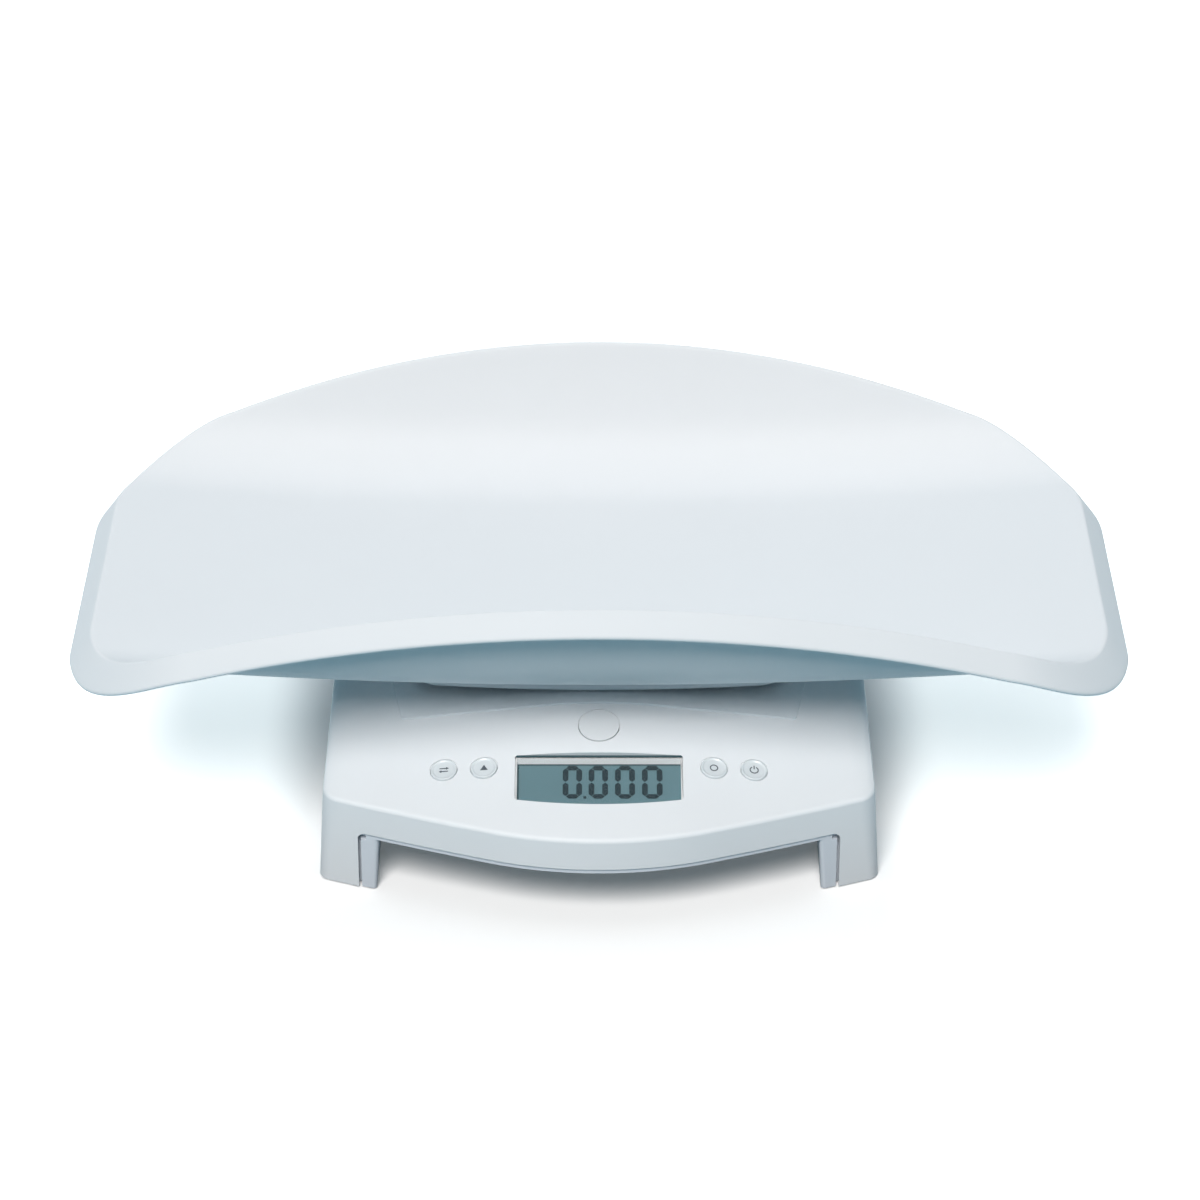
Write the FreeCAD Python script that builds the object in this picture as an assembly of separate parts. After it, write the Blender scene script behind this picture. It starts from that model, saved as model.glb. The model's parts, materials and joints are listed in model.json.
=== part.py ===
import FreeCAD, Part
import math
import os

"""Digital baby weighing scale: a lift-off tray on a four-legged base with a sloped display panel.

Millimetres, +Z up, the front (display) faces -Y. Parts are drawn with the tray's middle on the Z axis.
write_parts() then moves all of them together, so that the origin is on the floor under the middle of the
whole scale, and saves one STEP file each.
"""

V = FreeCAD.Vector
UP = V(0, 0, 1)

# ---------------------------------------------------------------- tray
TRAY_HALF_LENGTH = 266.5      # middle to the fold of the rim, at the ends
TRAY_HALF_DEPTH = 154.0       # middle to the fold of the rim, front and rear
TRAY_WALL = 3.0
TRAY_FLOOR_HALF_DEPTH = 91.4  # flat part of the trough's section
TRAY_BEND_RADIUS = 49.2       # between the trough's floor and its walls, inside
TRAY_WALL_SLOPE = 66.5        # degrees from level
TRAY_ARCH_RADIUS = 3020.0     # the trough's floor rises towards the ends on this radius
RIM_SIDE_RADIUS = 1176.0      # plan radius of the front and rear rims
RIM_CORNER_RADIUS = 69.2      # plan radius of the rim's corners
FLANGE_SIDE_WIDTH = 12.0      # how far the folded rim stands out, front and rear
FLANGE_END_WIDTH = 12.7       # and at the ends
FLANGE_SIDE_DROP = 11.5       # how far the folded rim hangs down, front and rear
FLANGE_END_DROP = 17.5
FLANGE_STEP = 0.15            # small step at the fold

# ---------------------------------------------------------------- sloped panel
SKIRT_TOP = 51.5              # the crease between the skirt and the panel
PLATFORM_TOP = 84.5
PLATFORM_FRONT = 72.5         # tray's middle to the platform's front edge
WINDOW_HALF_WIDTH = 43.7
WINDOW_LOW = 29.5             # along the panel's slope from the skirt, at the window's sides
WINDOW_LENGTH = 30.1          # up the slope
WINDOW_HIGH = WINDOW_LOW + WINDOW_LENGTH
WINDOW_BOW = 4.8              # the lower edge bows towards the skirt
BUTTON_RADIUS = 10.6
BUTTON_SPACE = 8.0            # between the window and the button
BUTTON_ALONG = WINDOW_HIGH + BUTTON_SPACE + BUTTON_RADIUS
PLATFORM_SPACE = 13.47        # between the button and the platform's edge
PANEL_LENGTH = BUTTON_ALONG + BUTTON_RADIUS + PLATFORM_SPACE
PANEL_RUN = math.sqrt(PANEL_LENGTH ** 2 - (PLATFORM_TOP - SKIRT_TOP) ** 2)
PANEL_ANGLE = math.atan((PLATFORM_TOP - SKIRT_TOP) / PANEL_RUN)
FRONT_REACH = PLATFORM_FRONT + PANEL_RUN    # tray's middle to the front of the bowed skirt

# ---------------------------------------------------------------- base housing
FLOOR_GAP = 0.8               # between the legs' skins and the floor
REAR_REACH = 146.0
BASE_HALF_WIDTH = 147.3       # at the floor
SKIRT_HALF_WIDTH = 144.5      # at the skirt's top
TOP_HALF_WIDTH = 140.3        # at the platform
SKIRT_BOTTOM = 34.0
PLATFORM_TAPER = 3.0          # the platform's rear edge stands in by this much
SHELL_WALL = 2.5
BOW_RADIUS = 170.0            # plan radius of the skirt's middle
BOW_ANGLE = 20.0              # degrees, where the middle meets the flanks
FLANK_RADIUS = 2000.0
TOP_BOW_RADIUS = 73.2         # the same for the platform's front edge
TOP_BOW_ANGLE = 18.5
TOP_FLANK_RADIUS = 4000.0
LEG_CORNER = 8.0              # plan radius of the front corners at the floor
SKIRT_CORNER = 14.0           # and at the skirt's top
TOP_CORNER = 22.0             # and at the platform
REAR_CORNER = 12.0
SKIRT_EDGE_ROUND = 2.5
PLATFORM_EDGE_ROUND = 2.0
LEG_WIDTH = 21.3              # of the shell's legs, at the floor
FRONT_LEG_DEPTH = 89.3        # from the front of the skirt's bow
REAR_LEG_DEPTH = 44.0
LEG_WIDTH_INNER = BASE_HALF_WIDTH - LEG_WIDTH
LEG_FRONT_END = FRONT_REACH - FRONT_LEG_DEPTH
LEG_REAR_START = REAR_REACH - REAR_LEG_DEPTH
ARCH_ROUND = 4.0
LOWER_PLATE = 2.7             # thickness of the lower housing's floor
LOWER_INSET = 1.0             # the lower housing stands back from the skirt
LEG_COLUMN_INSET = 5.0        # and its leg columns stand back further, behind the skins
LEG_COLUMN_SHOW = 11.5        # the columns stand out this far beside the skins
LEG_COLUMN_GAP = 1.6          # between the columns' faces and the skins' edges
LEG_COLUMN_REACH = 4.0        # the columns reach past the skins, towards the middle
LEG_COLUMN_INNER = LEG_WIDTH_INNER - LEG_COLUMN_SHOW
COLUMN_WALL = 2.0
COLUMN_LEAN = 2.0             # the columns' inner sides lean in this much at the bottom
COLUMN_EDGE_ROUND = 2.0       # on their outer corners beside the arches
LIP_HEIGHT = 5.0              # the lower housing's lip stands up inside the skirt
LIP_THICK = 1.6
LIP_TAPER = 0.3               # room for the skirt's lean
FIT_GAP = 0.3                 # between shells and what slips into them
BOSS_RADIUS = 4.5
BOSS_SIDE_X = LEG_COLUMN_INNER - 10.5
BOSS_REAR_X = 70.0
BOSS_FRONT_Y = 22.0 - LEG_FRONT_END
BOSS_MIDDLE_Y = 30.0
BOSS_REAR_Y = REAR_REACH - 18.0

# ---------------------------------------------------------------- platform plate and tray carrier
PLATE_RISE = 1.2              # the plate stands this far above the housing
PLATE_OVER = 8.5              # and reaches this far down the panel, in plan
PLATE_FRONT_MARGIN = 36.3     # in from the platform's sides, at the plate's front
PLATE_SIDE_MARGIN = 29.3      # and along its sides
PLATE_REAR_MARGIN = 34.0
PLATE_WIDENING = 31.0         # the plate's sides widen over this depth
PLATE_FRONT = PLATFORM_FRONT + PLATE_OVER
PLATE_FRONT_HALF = TOP_HALF_WIDTH - PLATE_FRONT_MARGIN
PLATE_SIDE_HALF = TOP_HALF_WIDTH - PLATE_SIDE_MARGIN
PLATE_SIDE_START = PLATE_FRONT - PLATE_WIDENING
PLATE_REAR = REAR_REACH - PLATE_REAR_MARGIN
PLATE_ROUND = 2.0
CARRIER_STAND = 1.3           # the pads hold the carrier this far above the plate
CARRIER_DEPTH = 23.2          # from the carrier's lower edge to the trough's floor
CARRIER_OVER = 3.5            # the carrier reaches this far past the platform's front edge
CARRIER_BOTTOM = PLATFORM_TOP + PLATE_RISE + CARRIER_STAND
CARRIER_FRONT = PLATFORM_FRONT + CARRIER_OVER
CARRIER_HALF_WIDTH = PLATE_FRONT_HALF - 4.0
CARRIER_REAR = PLATE_REAR - 24.0
CARRIER_BOW_RADIUS = 760.0
CARRIER_ROUND = 18.0
CARRIER_WALL = 3.0
CARRIER_TOP_WALL = 4.0
PAD_RADIUS = 7.0
PAD_SEAT_WALL = 2.5
PAD_X = CARRIER_HALF_WIDTH - 22.0
PAD_Y = CARRIER_FRONT - 18.0
PAD_SINK = 2.0                # how far a pad sits in the carrier
TRAY_BOSS_RADIUS = 5.0
TRAY_BOSS_LENGTH = 8.0
TRAY_BOSS_X = PAD_X - 8.0
TRAY_BOSS_Y = PAD_Y - 13.0
TRAY_SCREW_LENGTH = 10.0

# ---------------------------------------------------------------- tray latch
LUG_HALF_WIDTH = 7.0
LUG_THICKNESS = 3.0
LUG_SETBACK = 6.5             # behind the platform's front edge
LUG_DROP = 9.5                # below the platform
LUG_WINDOW_HALF = 4.2
BUTTON_TRAVEL = 2.0
LUG_WINDOW_HEIGHT = BUTTON_TRAVEL + 1.4
LUG_WINDOW_SILL = 2.2         # below the lug's window
LUG_FRONT = PLATFORM_FRONT - LUG_SETBACK
LUG_BOTTOM = PLATFORM_TOP - LUG_DROP
LUG_WINDOW_LOW = LUG_BOTTOM + LUG_WINDOW_SILL
LUG_WINDOW_HIGH = LUG_WINDOW_LOW + LUG_WINDOW_HEIGHT
LUG_SLOT_ROOM = 1.0
LATCH_STRIP = 0.8
LATCH_HALF_WIDTH = 6.0
LATCH_GAP = 2.0               # between the strip and the lug
LATCH_NOSE_HALF = 3.6
LATCH_NOSE_ROOM = 0.3         # between the nose's tip and the lug's inner face
LATCH_ARM_GAP = 1.55          # under the middle of the button
LATCH_ARM_OVER = 2.0          # the arm reaches this far past the middle of the button
LATCH_FOOT_RISE = 10.0        # above the lower housing's floor
LATCH_SCREW_RISE = 4.0
LATCH_SCREW_LENGTH = 5.0
LATCH_POST_RISE = 14.0
LATCH_POST_DEPTH = 6.0
LATCH_FOOT_Z = SKIRT_BOTTOM + LATCH_FOOT_RISE
LATCH_SCREW_Z = LATCH_FOOT_Z + LATCH_SCREW_RISE
LATCH_POST_TOP = LATCH_FOOT_Z + LATCH_POST_RISE
BUTTON_FLANGE = 1.8
BUTTON_PROUD = 0.3
BUTTON_FLANGE_THICK = 1.2
RUN_GAP = 0.3                 # around keys and the button
GROOVE_WIDTH = 0.4            # the step round each key's and the button's hole
GROOVE_DEPTH = 0.6

# ---------------------------------------------------------------- display and keys
WINDOW_THICK = 1.5
WINDOW_SINK = 2.4             # below the panel's middle line
WINDOW_FIT = 0.15
FRAME_FLANGE = 2.0            # the frame's body is this much larger than the window
FRAME_NECK = 1.9              # and its neck reaches this far up to the window
VIEW_MARGIN = 1.0             # the frame's opening is this much smaller than the window
LCD_RECESS = 3.2              # below the window
LCD_MARGIN = 0.6              # the glass reaches this far under the frame's opening
LCD_THICK = 2.8
LCD_GAP = 0.3
ZEBRA_WIDTH = 2.2
ZEBRA_MARGIN = 4.0            # in from the window's sides
KEY_RADIUS = 6.9
KEY_SPACE = 16.3              # from the window's side to the first key's middle
KEY_PITCH = 21.0
KEY_INNER_X = WINDOW_HALF_WIDTH + KEY_SPACE
KEY_OUTER_X = KEY_INNER_X + KEY_PITCH
KEY_INNER_RISE = 23.03        # up the slope from the window's lower edge to the keys' middles
KEY_OUTER_RISE = 23.5
KEY_PROUD = 0.7
KEY_TRAVEL = 1.0
KEY_FLANGE = 1.2
KEY_FLANGE_DROP = 2.0         # between the panel's wall and the flange, under the key's middle
KEY_FLANGE_THICK = 1.0
BOARD_DEPTH = 16.5            # from the panel's middle line down to the board's top
BOARD_THICK = 1.6
BOARD_END = 16.0              # past the outer keys' middles
BOARD_LOW = WINDOW_LOW - 1.5
BOARD_HIGH = WINDOW_HIGH + 10.4
BOARD_HALF_WIDTH = KEY_OUTER_X + BOARD_END
BOARD_NOTCH = 16.0            # the board's lower corners are cut away by this much
BOARD_NOTCH_SPACE = 7.3       # from the display frame to the cut-away corners
BOARD_NOTCH_X = WINDOW_HALF_WIDTH + FRAME_FLANGE + BOARD_NOTCH_SPACE
MAT_THICK = 0.8
DOME_RADIUS = 4.0
DOME_HEIGHT = KEY_TRAVEL + 1.0
DOME_WALL = 1.0
MAT_EDGE = 2.0                # the mats reach this far past their domes
PILLAR_RADIUS = 3.0
PILLAR_SPACE = 1.3            # between the display frame and the nearest pillars
BOARD_SCREW_LENGTH = 5.0
BOARD_SCREW_INSET = 4.2
BOARD_SCREW_RISE = 24.0       # the outer screws stand this far above the board's lower edge
BOARD_SCREW_X = WINDOW_HALF_WIDTH + FRAME_FLANGE + PILLAR_RADIUS + PILLAR_SPACE
SOCKET_X = KEY_INNER_X - 3.0
SOCKET_ALONG = BOARD_HIGH - 13.0
SOCKET_HALF_WIDTH = 8.0
SOCKET_HALF_LENGTH = 3.0
SOCKET_DEPTH = 5.0
BIG_CHIP, SMALL_CHIP = 18.0, 10.0
BIG_CHIP_THICK, SMALL_CHIP_THICK = 1.8, 1.5
CLOCK_WIDTH, CLOCK_LENGTH, CLOCK_THICK = 11.0, 5.0, 3.2
CHIP_SPACE = 9.0              # between the big chip and its neighbours
CHIP_ALONG = WINDOW_LOW + WINDOW_LENGTH / 2

# ---------------------------------------------------------------- batteries
CELL_RADIUS = 7.1
CELL_LENGTH = 50.0
CELL_TIP_RADIUS = 2.6
CELL_TIP = 1.5
CELL_COUNT = 4
CELL_PITCH = 15.0
BAY_CENTRE_Y = 42.0
BAY_WALL = 2.0
BAY_ROOM = 0.5                # beside and above the cells
CONTACT_DEPTH = 3.6           # room for the contacts at each end of the cells
CONTACT_STRIP = 0.5
CONTACT_HALF = 5.0
CONTACT_CONE = 4.0
CONTACT_CONE_TIP = 2.0
CELL_LIFT = 1.2               # between the door and the cells
DOOR_THICK = 2.4
DOOR_MARGIN = 3.0
DOOR_PIN_RADIUS = 0.8
DOOR_PIN_FIT = 0.07
DOOR_PIN_LENGTH = 2.2
NOTCH_RADIUS = 9.0            # the door's finger notch
NOTCH_SETBACK = 4.0           # its middle stands this far behind the door's edge
GRIP_COUNT = 3
GRIP_HALF_LENGTH = 12.0
GRIP_START = 12.0             # from the door's rear edge
GRIP_PITCH = 3.0
GRIP_WIDTH = 1.2
GRIP_DEPTH = 0.5

# ---------------------------------------------------------------- load cells and feet
FOOT_INSET = 19.3             # from the base's side to the feet's middles, at the floor
FOOT_FRONT_SPACE = 21.0       # from the front legs' rear ends
FOOT_REAR_SPACE = 19.0        # from the rear legs' front ends
FOOT_X = BASE_HALF_WIDTH - FOOT_INSET
FOOT_FRONT_Y = -LEG_FRONT_END - FOOT_FRONT_SPACE
FOOT_REAR_Y = LEG_REAR_START + FOOT_REAR_SPACE
FOOT_RADIUS = 8.5
FOOT_HEIGHT = 6.0
FOOT_EDGE_ROUND = 1.0
FOOT_STEM_RADIUS = 3.0
SHELF_BOTTOM = 13.0
SHELF_THICK = 3.0
CELL_PLATE = 2.6
CELL_PLATE_X = 19.0
CELL_PLATE_Y = 28.0
CELL_SCREW_REACH = 11.0
CELL_SCREW_LENGTH = 5.0
TONGUE_HALF = 4.2
TONGUE_LENGTH = 13.0
TONGUE_SLOT = 1.4
TONGUE_RELIEF = 1.0
WIRE_RADIUS = 1.0
WIRE_BEND = 4.0
WIRE_RISE = 9.0               # the rear leads run this far above the lower housing's floor
WIRE_SPREAD_FRONT = 4.0       # from a socket's middle to the front lead
WIRE_SPREAD_REAR = -3.0
WIRE_DROP = 7.0               # straight down out of the socket

# ---------------------------------------------------------------- screws
SCREW_RADIUS = 1.5
SCREW_HEAD_RADIUS = 2.8
SCREW_HEAD = 1.8
SCREW_CLEAR = 0.3
SCREW_SLOT = 0.8
SCREW_SLOT_DEPTH = 0.7
HOUSING_SCREW_LENGTH = 11.0
HOUSING_SCREW_SINK = 3.4      # from the lower housing's underside up to the head's seat

BEYOND = 400.0                # further out than any part
PAST = 1.0                    # how far a cut runs past the faces that it opens


# ================================================================ small helpers
def box(x0, x1, y0, y1, z0, z1):
    return Part.makeBox(x1 - x0, y1 - y0, z1 - z0, V(x0, y0, z0))


def post(x, y, z0, z1, radius):
    return Part.makeCylinder(radius, z1 - z0, V(x, y, z0))


def prism(wire, z0, z1):
    face = Part.Face(wire)
    face.translate(V(0, 0, z0 - wire.BoundBox.ZMin))
    return face.extrude(V(0, 0, z1 - z0))


def fused(shapes):
    first, rest = shapes[0], shapes[1:]
    return first.multiFuse(rest).removeSplitter() if rest else first


def mirrored_x(shape):
    return shape.mirror(V(0, 0, 0), V(1, 0, 0))


def screw(x, y, seat, length):
    """A pan-head screw that points up, with the underside of its head at the height seat."""
    head = Part.makeCylinder(SCREW_HEAD_RADIUS, SCREW_HEAD, V(0, 0, -SCREW_HEAD))
    half, reach = SCREW_SLOT / 2, SCREW_HEAD_RADIUS * 0.6
    low, high = -SCREW_HEAD - PAST, -SCREW_HEAD + SCREW_SLOT_DEPTH
    recess = box(-reach, reach, -half, half, low, high).fuse(box(-half, half, -reach, reach, low, high))
    shank = Part.makeCylinder(SCREW_RADIUS, length)
    body = head.cut(recess).fuse(shank).removeSplitter()
    body.translate(V(x, y, seat))
    return body


def rounded_plate(points, radius):
    """A closed wire through plan points with every corner rounded."""
    edges = []
    count = len(points)
    corners = []
    for i, corner in enumerate(points):
        back = (points[i - 1] - corner).normalize()
        ahead = (points[(i + 1) % count] - corner).normalize()
        half = back.getAngle(ahead) / 2
        reach = radius / math.tan(half)
        middle = (back + ahead).normalize()
        arc_mid = corner + middle * (radius / math.sin(half) - radius)
        corners.append((corner + back * reach, arc_mid, corner + ahead * reach))
    for i, (start, mid, end) in enumerate(corners):
        edges.append(Part.Arc(start, mid, end).toShape())
        edges.append(Part.LineSegment(end, corners[(i + 1) % count][0]).toShape())
    return Part.Wire(edges)


# ================================================================ tray surfaces
SLOPE = math.radians(TRAY_WALL_SLOPE)
BEND_END_Y = TRAY_FLOOR_HALF_DEPTH + TRAY_BEND_RADIUS * math.sin(SLOPE)


def section_rise(y):
    """Height of the trough's upper surface above its floor, at mid-length."""
    y = abs(y)
    if y <= TRAY_FLOOR_HALF_DEPTH:
        return 0.0
    if y <= BEND_END_Y:
        return TRAY_BEND_RADIUS - math.sqrt(TRAY_BEND_RADIUS ** 2 - (y - TRAY_FLOOR_HALF_DEPTH) ** 2)
    return TRAY_BEND_RADIUS * (1 - math.cos(SLOPE)) + (y - BEND_END_Y) * math.tan(SLOPE)


TRAY_FLOOR = CARRIER_BOTTOM + CARRIER_DEPTH
TRAY_HEIGHT = TRAY_FLOOR + section_rise(TRAY_HALF_DEPTH)    # floor to the fold of the rim, at mid-length
ARCH_CENTRE = TRAY_FLOOR + TRAY_ARCH_RADIUS


def tray_top(x, y):
    """Height of the trough's upper surface above the ground."""
    reach = TRAY_ARCH_RADIUS - section_rise(y)
    return ARCH_CENTRE - math.sqrt(reach ** 2 - x ** 2)


def rim_centres():
    side_centre = TRAY_HALF_DEPTH - RIM_SIDE_RADIUS
    corner_x = TRAY_HALF_LENGTH - RIM_CORNER_RADIUS
    corner_y = side_centre + math.sqrt((RIM_SIDE_RADIUS - RIM_CORNER_RADIUS) ** 2 - corner_x ** 2)
    return side_centre, corner_x, corner_y


def rim_wire():
    """The fold of the rim in plan: two long side arcs, two end lines and four corner arcs."""
    side_centre, corner_x, corner_y = rim_centres()
    turn = math.atan2(corner_x, corner_y - side_centre)
    meet = V(RIM_SIDE_RADIUS * math.sin(turn), side_centre + RIM_SIDE_RADIUS * math.cos(turn), 0)
    mid_turn = (turn + math.pi / 2) / 2
    mid = V(corner_x, corner_y, 0) + V(math.sin(mid_turn), math.cos(mid_turn), 0) * RIM_CORNER_RADIUS
    end = V(TRAY_HALF_LENGTH, corner_y, 0)

    def flip(p, sx, sy):
        return V(p.x * sx, p.y * sy, 0)

    edges = [
        Part.Arc(flip(meet, -1, 1), V(0, TRAY_HALF_DEPTH, 0), meet),
        Part.Arc(meet, mid, end),
        Part.LineSegment(end, flip(end, 1, -1)),
        Part.Arc(flip(end, 1, -1), flip(mid, 1, -1), flip(meet, 1, -1)),
        Part.Arc(flip(meet, 1, -1), V(0, -TRAY_HALF_DEPTH, 0), flip(meet, -1, -1)),
        Part.Arc(flip(meet, -1, -1), flip(mid, -1, -1), flip(end, -1, -1)),
        Part.LineSegment(flip(end, -1, -1), flip(end, -1, 1)),
        Part.Arc(flip(end, -1, 1), flip(mid, -1, 1), flip(meet, -1, 1)),
    ]
    return Part.Wire([edge.toShape() for edge in edges])


def rim_stations():
    """Plan points round the fold with their outward directions, evenly spread in each stretch."""
    side_centre, corner_x, corner_y = rim_centres()
    turn = math.atan2(corner_x, corner_y - side_centre)
    quarter = []
    side_steps, corner_steps, end_steps = 10, 9, 3
    for i in range(side_steps):
        a = turn * i / side_steps
        quarter.append((RIM_SIDE_RADIUS * math.sin(a), side_centre + RIM_SIDE_RADIUS * math.cos(a), a))
    for i in range(corner_steps):
        a = turn + (math.pi / 2 - turn) * i / corner_steps
        x = corner_x + RIM_CORNER_RADIUS * math.sin(a)
        y = corner_y + RIM_CORNER_RADIUS * math.cos(a)
        quarter.append((x, y, a))
    for i in range(end_steps):
        quarter.append((TRAY_HALF_LENGTH, corner_y * (1 - i / end_steps), math.pi / 2))
    right = quarter + [(TRAY_HALF_LENGTH, 0.0, math.pi / 2)]
    right += [(x, -y, math.pi - a) for x, y, a in reversed(quarter)]
    left = [(-x, y, -a) for x, y, a in reversed(right[1:-1])]
    return [(x, y, math.sin(a), math.cos(a)) for x, y, a in right + left]


def trough_section(offset, top):
    """Closed section of the space above the trough's surface, lowered by offset."""
    radius = TRAY_BEND_RADIUS + offset
    floor = TRAY_FLOOR - offset
    centre_z = TRAY_FLOOR + TRAY_BEND_RADIUS
    bend_y = TRAY_FLOOR_HALF_DEPTH + radius * math.sin(SLOPE)
    bend_z = centre_z - radius * math.cos(SLOPE)
    mid_y = TRAY_FLOOR_HALF_DEPTH + radius * math.sin(SLOPE / 2)
    mid_z = centre_z - radius * math.cos(SLOPE / 2)
    top_y = bend_y + (top - bend_z) / math.tan(SLOPE)
    a = TRAY_FLOOR_HALF_DEPTH
    edges = [
        Part.LineSegment(V(0, -a, floor), V(0, a, floor)),
        Part.Arc(V(0, a, floor), V(0, mid_y, mid_z), V(0, bend_y, bend_z)),
        Part.LineSegment(V(0, bend_y, bend_z), V(0, top_y, top)),
        Part.LineSegment(V(0, top_y, top), V(0, -top_y, top)),
        Part.LineSegment(V(0, -top_y, top), V(0, -bend_y, bend_z)),
        Part.Arc(V(0, -bend_y, bend_z), V(0, -mid_y, mid_z), V(0, -a, floor)),
    ]
    return Part.Face(Part.Wire([edge.toShape() for edge in edges]))


def trough_space(offset, headroom):
    """All space above the trough's surface (lowered by offset), swept along the arch."""
    face = trough_section(offset, TRAY_HEIGHT + headroom)
    centre = V(0, 0, ARCH_CENTRE)
    swing = math.degrees(math.asin((TRAY_HALF_LENGTH + 20) / (TRAY_ARCH_RADIUS - TRAY_HEIGHT)))
    face.rotate(centre, V(0, 1, 0), -swing)
    return face.revolve(centre, V(0, 1, 0), 2 * swing)


def closed_curve(points):
    curve = Part.BSplineCurve()
    steps = len(points)
    curve.interpolate(Points=points, PeriodicFlag=True, Parameters=[i / steps for i in range(steps + 1)])
    return curve.toShape()


def flange_ring():
    """The folded rim as a closed ring, reaching a little inside the fold."""
    inside = TRAY_WALL
    loops = [[], [], [], []]
    for x, y, nx, ny in rim_stations():
        out = math.hypot(FLANGE_END_WIDTH * nx, FLANGE_SIDE_WIDTH * ny)
        drop = math.hypot(FLANGE_END_DROP * nx, FLANGE_SIDE_DROP * ny)
        length = math.hypot(out, drop)
        fold = V(x, y, tray_top(x, y) + FLANGE_STEP)
        along = V(nx * out, ny * out, -drop) * (1 / length)
        under = V(-nx * drop, -ny * drop, -out) * (TRAY_WALL / length)
        loops[0].append(fold - along * inside)
        loops[1].append(fold + along * length)
        loops[2].append(fold + along * length + under)
        loops[3].append(fold - along * inside + under)
    curves = [closed_curve(points) for points in loops]
    faces = [Part.makeRuledSurface(curves[i], curves[(i + 1) % 4]) for i in range(4)]
    ring = Part.Solid(Part.Shell(faces))
    if ring.Volume < 0:
        ring.reverse()
    return ring


def boss_floor(x, y):
    """Height of the trough's underside at a boss."""
    return tray_top(x, y) - TRAY_WALL


def tray_shell():
    rim = rim_wire()
    low, high = TRAY_FLOOR - 3 * TRAY_WALL, TRAY_HEIGHT + 3 * TRAY_WALL
    body = trough_space(TRAY_WALL, 40).common(prism(rim, low, high))
    air = trough_space(0, 40).common(prism(rim, low, high + TRAY_WALL))
    body = body.fuse(flange_ring()).cut(air)
    for x, y in tray_boss_places():
        boss = post(x, y, BOSS_LOW, boss_floor(x, y) + TRAY_WALL / 2, TRAY_BOSS_RADIUS)
        body = body.fuse(boss).cut(post(x, y, BOSS_LOW - 1, boss_floor(x, y), SCREW_RADIUS))
    return body


# ================================================================ base outlines
def base_outline(front, half_width, corner, rear_corner, rear, bow, bow_angle, flank, z):
    """Plan wire of the base at height z: a bowed front, straight sides and a straight rear."""
    turn = math.radians(bow_angle)
    joint = V(bow * math.sin(turn), -front + bow - bow * math.cos(turn), z)
    flank_centre = V(joint.x - flank * math.sin(turn), joint.y + flank * math.cos(turn), z)
    corner_x = half_width - corner
    reach = flank - corner
    corner_y = flank_centre.y - math.sqrt(reach ** 2 - (corner_x - flank_centre.x) ** 2)
    corner_turn = math.asin((corner_x - flank_centre.x) / reach)
    flank_end = flank_centre + V(math.sin(corner_turn), -math.cos(corner_turn), 0) * flank
    half_turn = (turn + corner_turn) / 2
    flank_mid = flank_centre + V(math.sin(half_turn), -math.cos(half_turn), 0) * flank
    mid_turn = (corner_turn + math.pi / 2) / 2
    centre = V(corner_x, corner_y, z)
    corner_mid = centre + V(math.sin(mid_turn), -math.cos(mid_turn), 0) * corner
    rear_centre = V(half_width - rear_corner, rear - rear_corner, z)
    side_front = V(half_width, corner_y, z)
    side_rear = rear_centre + V(rear_corner, 0, 0)
    rear_mid = rear_centre + V(math.sqrt(0.5), math.sqrt(0.5), 0) * rear_corner
    rear_end = rear_centre + V(0, rear_corner, 0)

    def left(p):
        return V(-p.x, p.y, p.z)

    edges = [
        Part.Arc(left(joint), V(0, -front, z), joint),
        Part.Arc(joint, flank_mid, flank_end),
        Part.Arc(flank_end, corner_mid, side_front),
        Part.LineSegment(side_front, side_rear),
        Part.Arc(side_rear, rear_mid, rear_end),
        Part.LineSegment(rear_end, left(rear_end)),
        Part.Arc(left(rear_end), left(rear_mid), left(side_rear)),
        Part.LineSegment(left(side_rear), left(side_front)),
        Part.Arc(left(side_front), left(corner_mid), left(flank_end)),
        Part.Arc(left(flank_end), left(flank_mid), left(joint)),
    ]
    return Part.Wire([edge.toShape() for edge in edges])


def skirt_outline(inset, z):
    """Outline below the panel; the sides lean in and the front corners widen towards the top."""
    up = z / SKIRT_TOP
    half = BASE_HALF_WIDTH + (SKIRT_HALF_WIDTH - BASE_HALF_WIDTH) * up
    corner = LEG_CORNER + (SKIRT_CORNER - LEG_CORNER) * up
    return base_outline(FRONT_REACH - inset, half - inset, corner - inset, REAR_CORNER - inset,
                        REAR_REACH - inset, BOW_RADIUS - inset, BOW_ANGLE, FLANK_RADIUS - inset, z)


def platform_outline(inset, front_inset, z):
    return base_outline(PLATFORM_FRONT - front_inset, TOP_HALF_WIDTH - inset, TOP_CORNER - inset,
                        REAR_CORNER - inset, REAR_REACH - PLATFORM_TAPER - inset,
                        TOP_BOW_RADIUS - front_inset, TOP_BOW_ANGLE, TOP_FLANK_RADIUS - front_inset, z)


def base_form(inset, bottom):
    """Solid form of the base, drawn in by inset on every side but the bottom."""
    tilt = math.tan(PANEL_ANGLE)
    shift = 1 / math.cos(PANEL_ANGLE)
    crease = SKIRT_TOP + inset * (tilt - shift)
    top = PLATFORM_TOP - inset
    front_inset = inset * (shift - 1) / tilt
    middle = skirt_outline(inset, crease)
    lower = Part.makeLoft([skirt_outline(inset, bottom), middle], True, True)
    upper = Part.makeLoft([middle, platform_outline(inset, front_inset, top)], True, True)
    return lower.fuse(upper)


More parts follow.
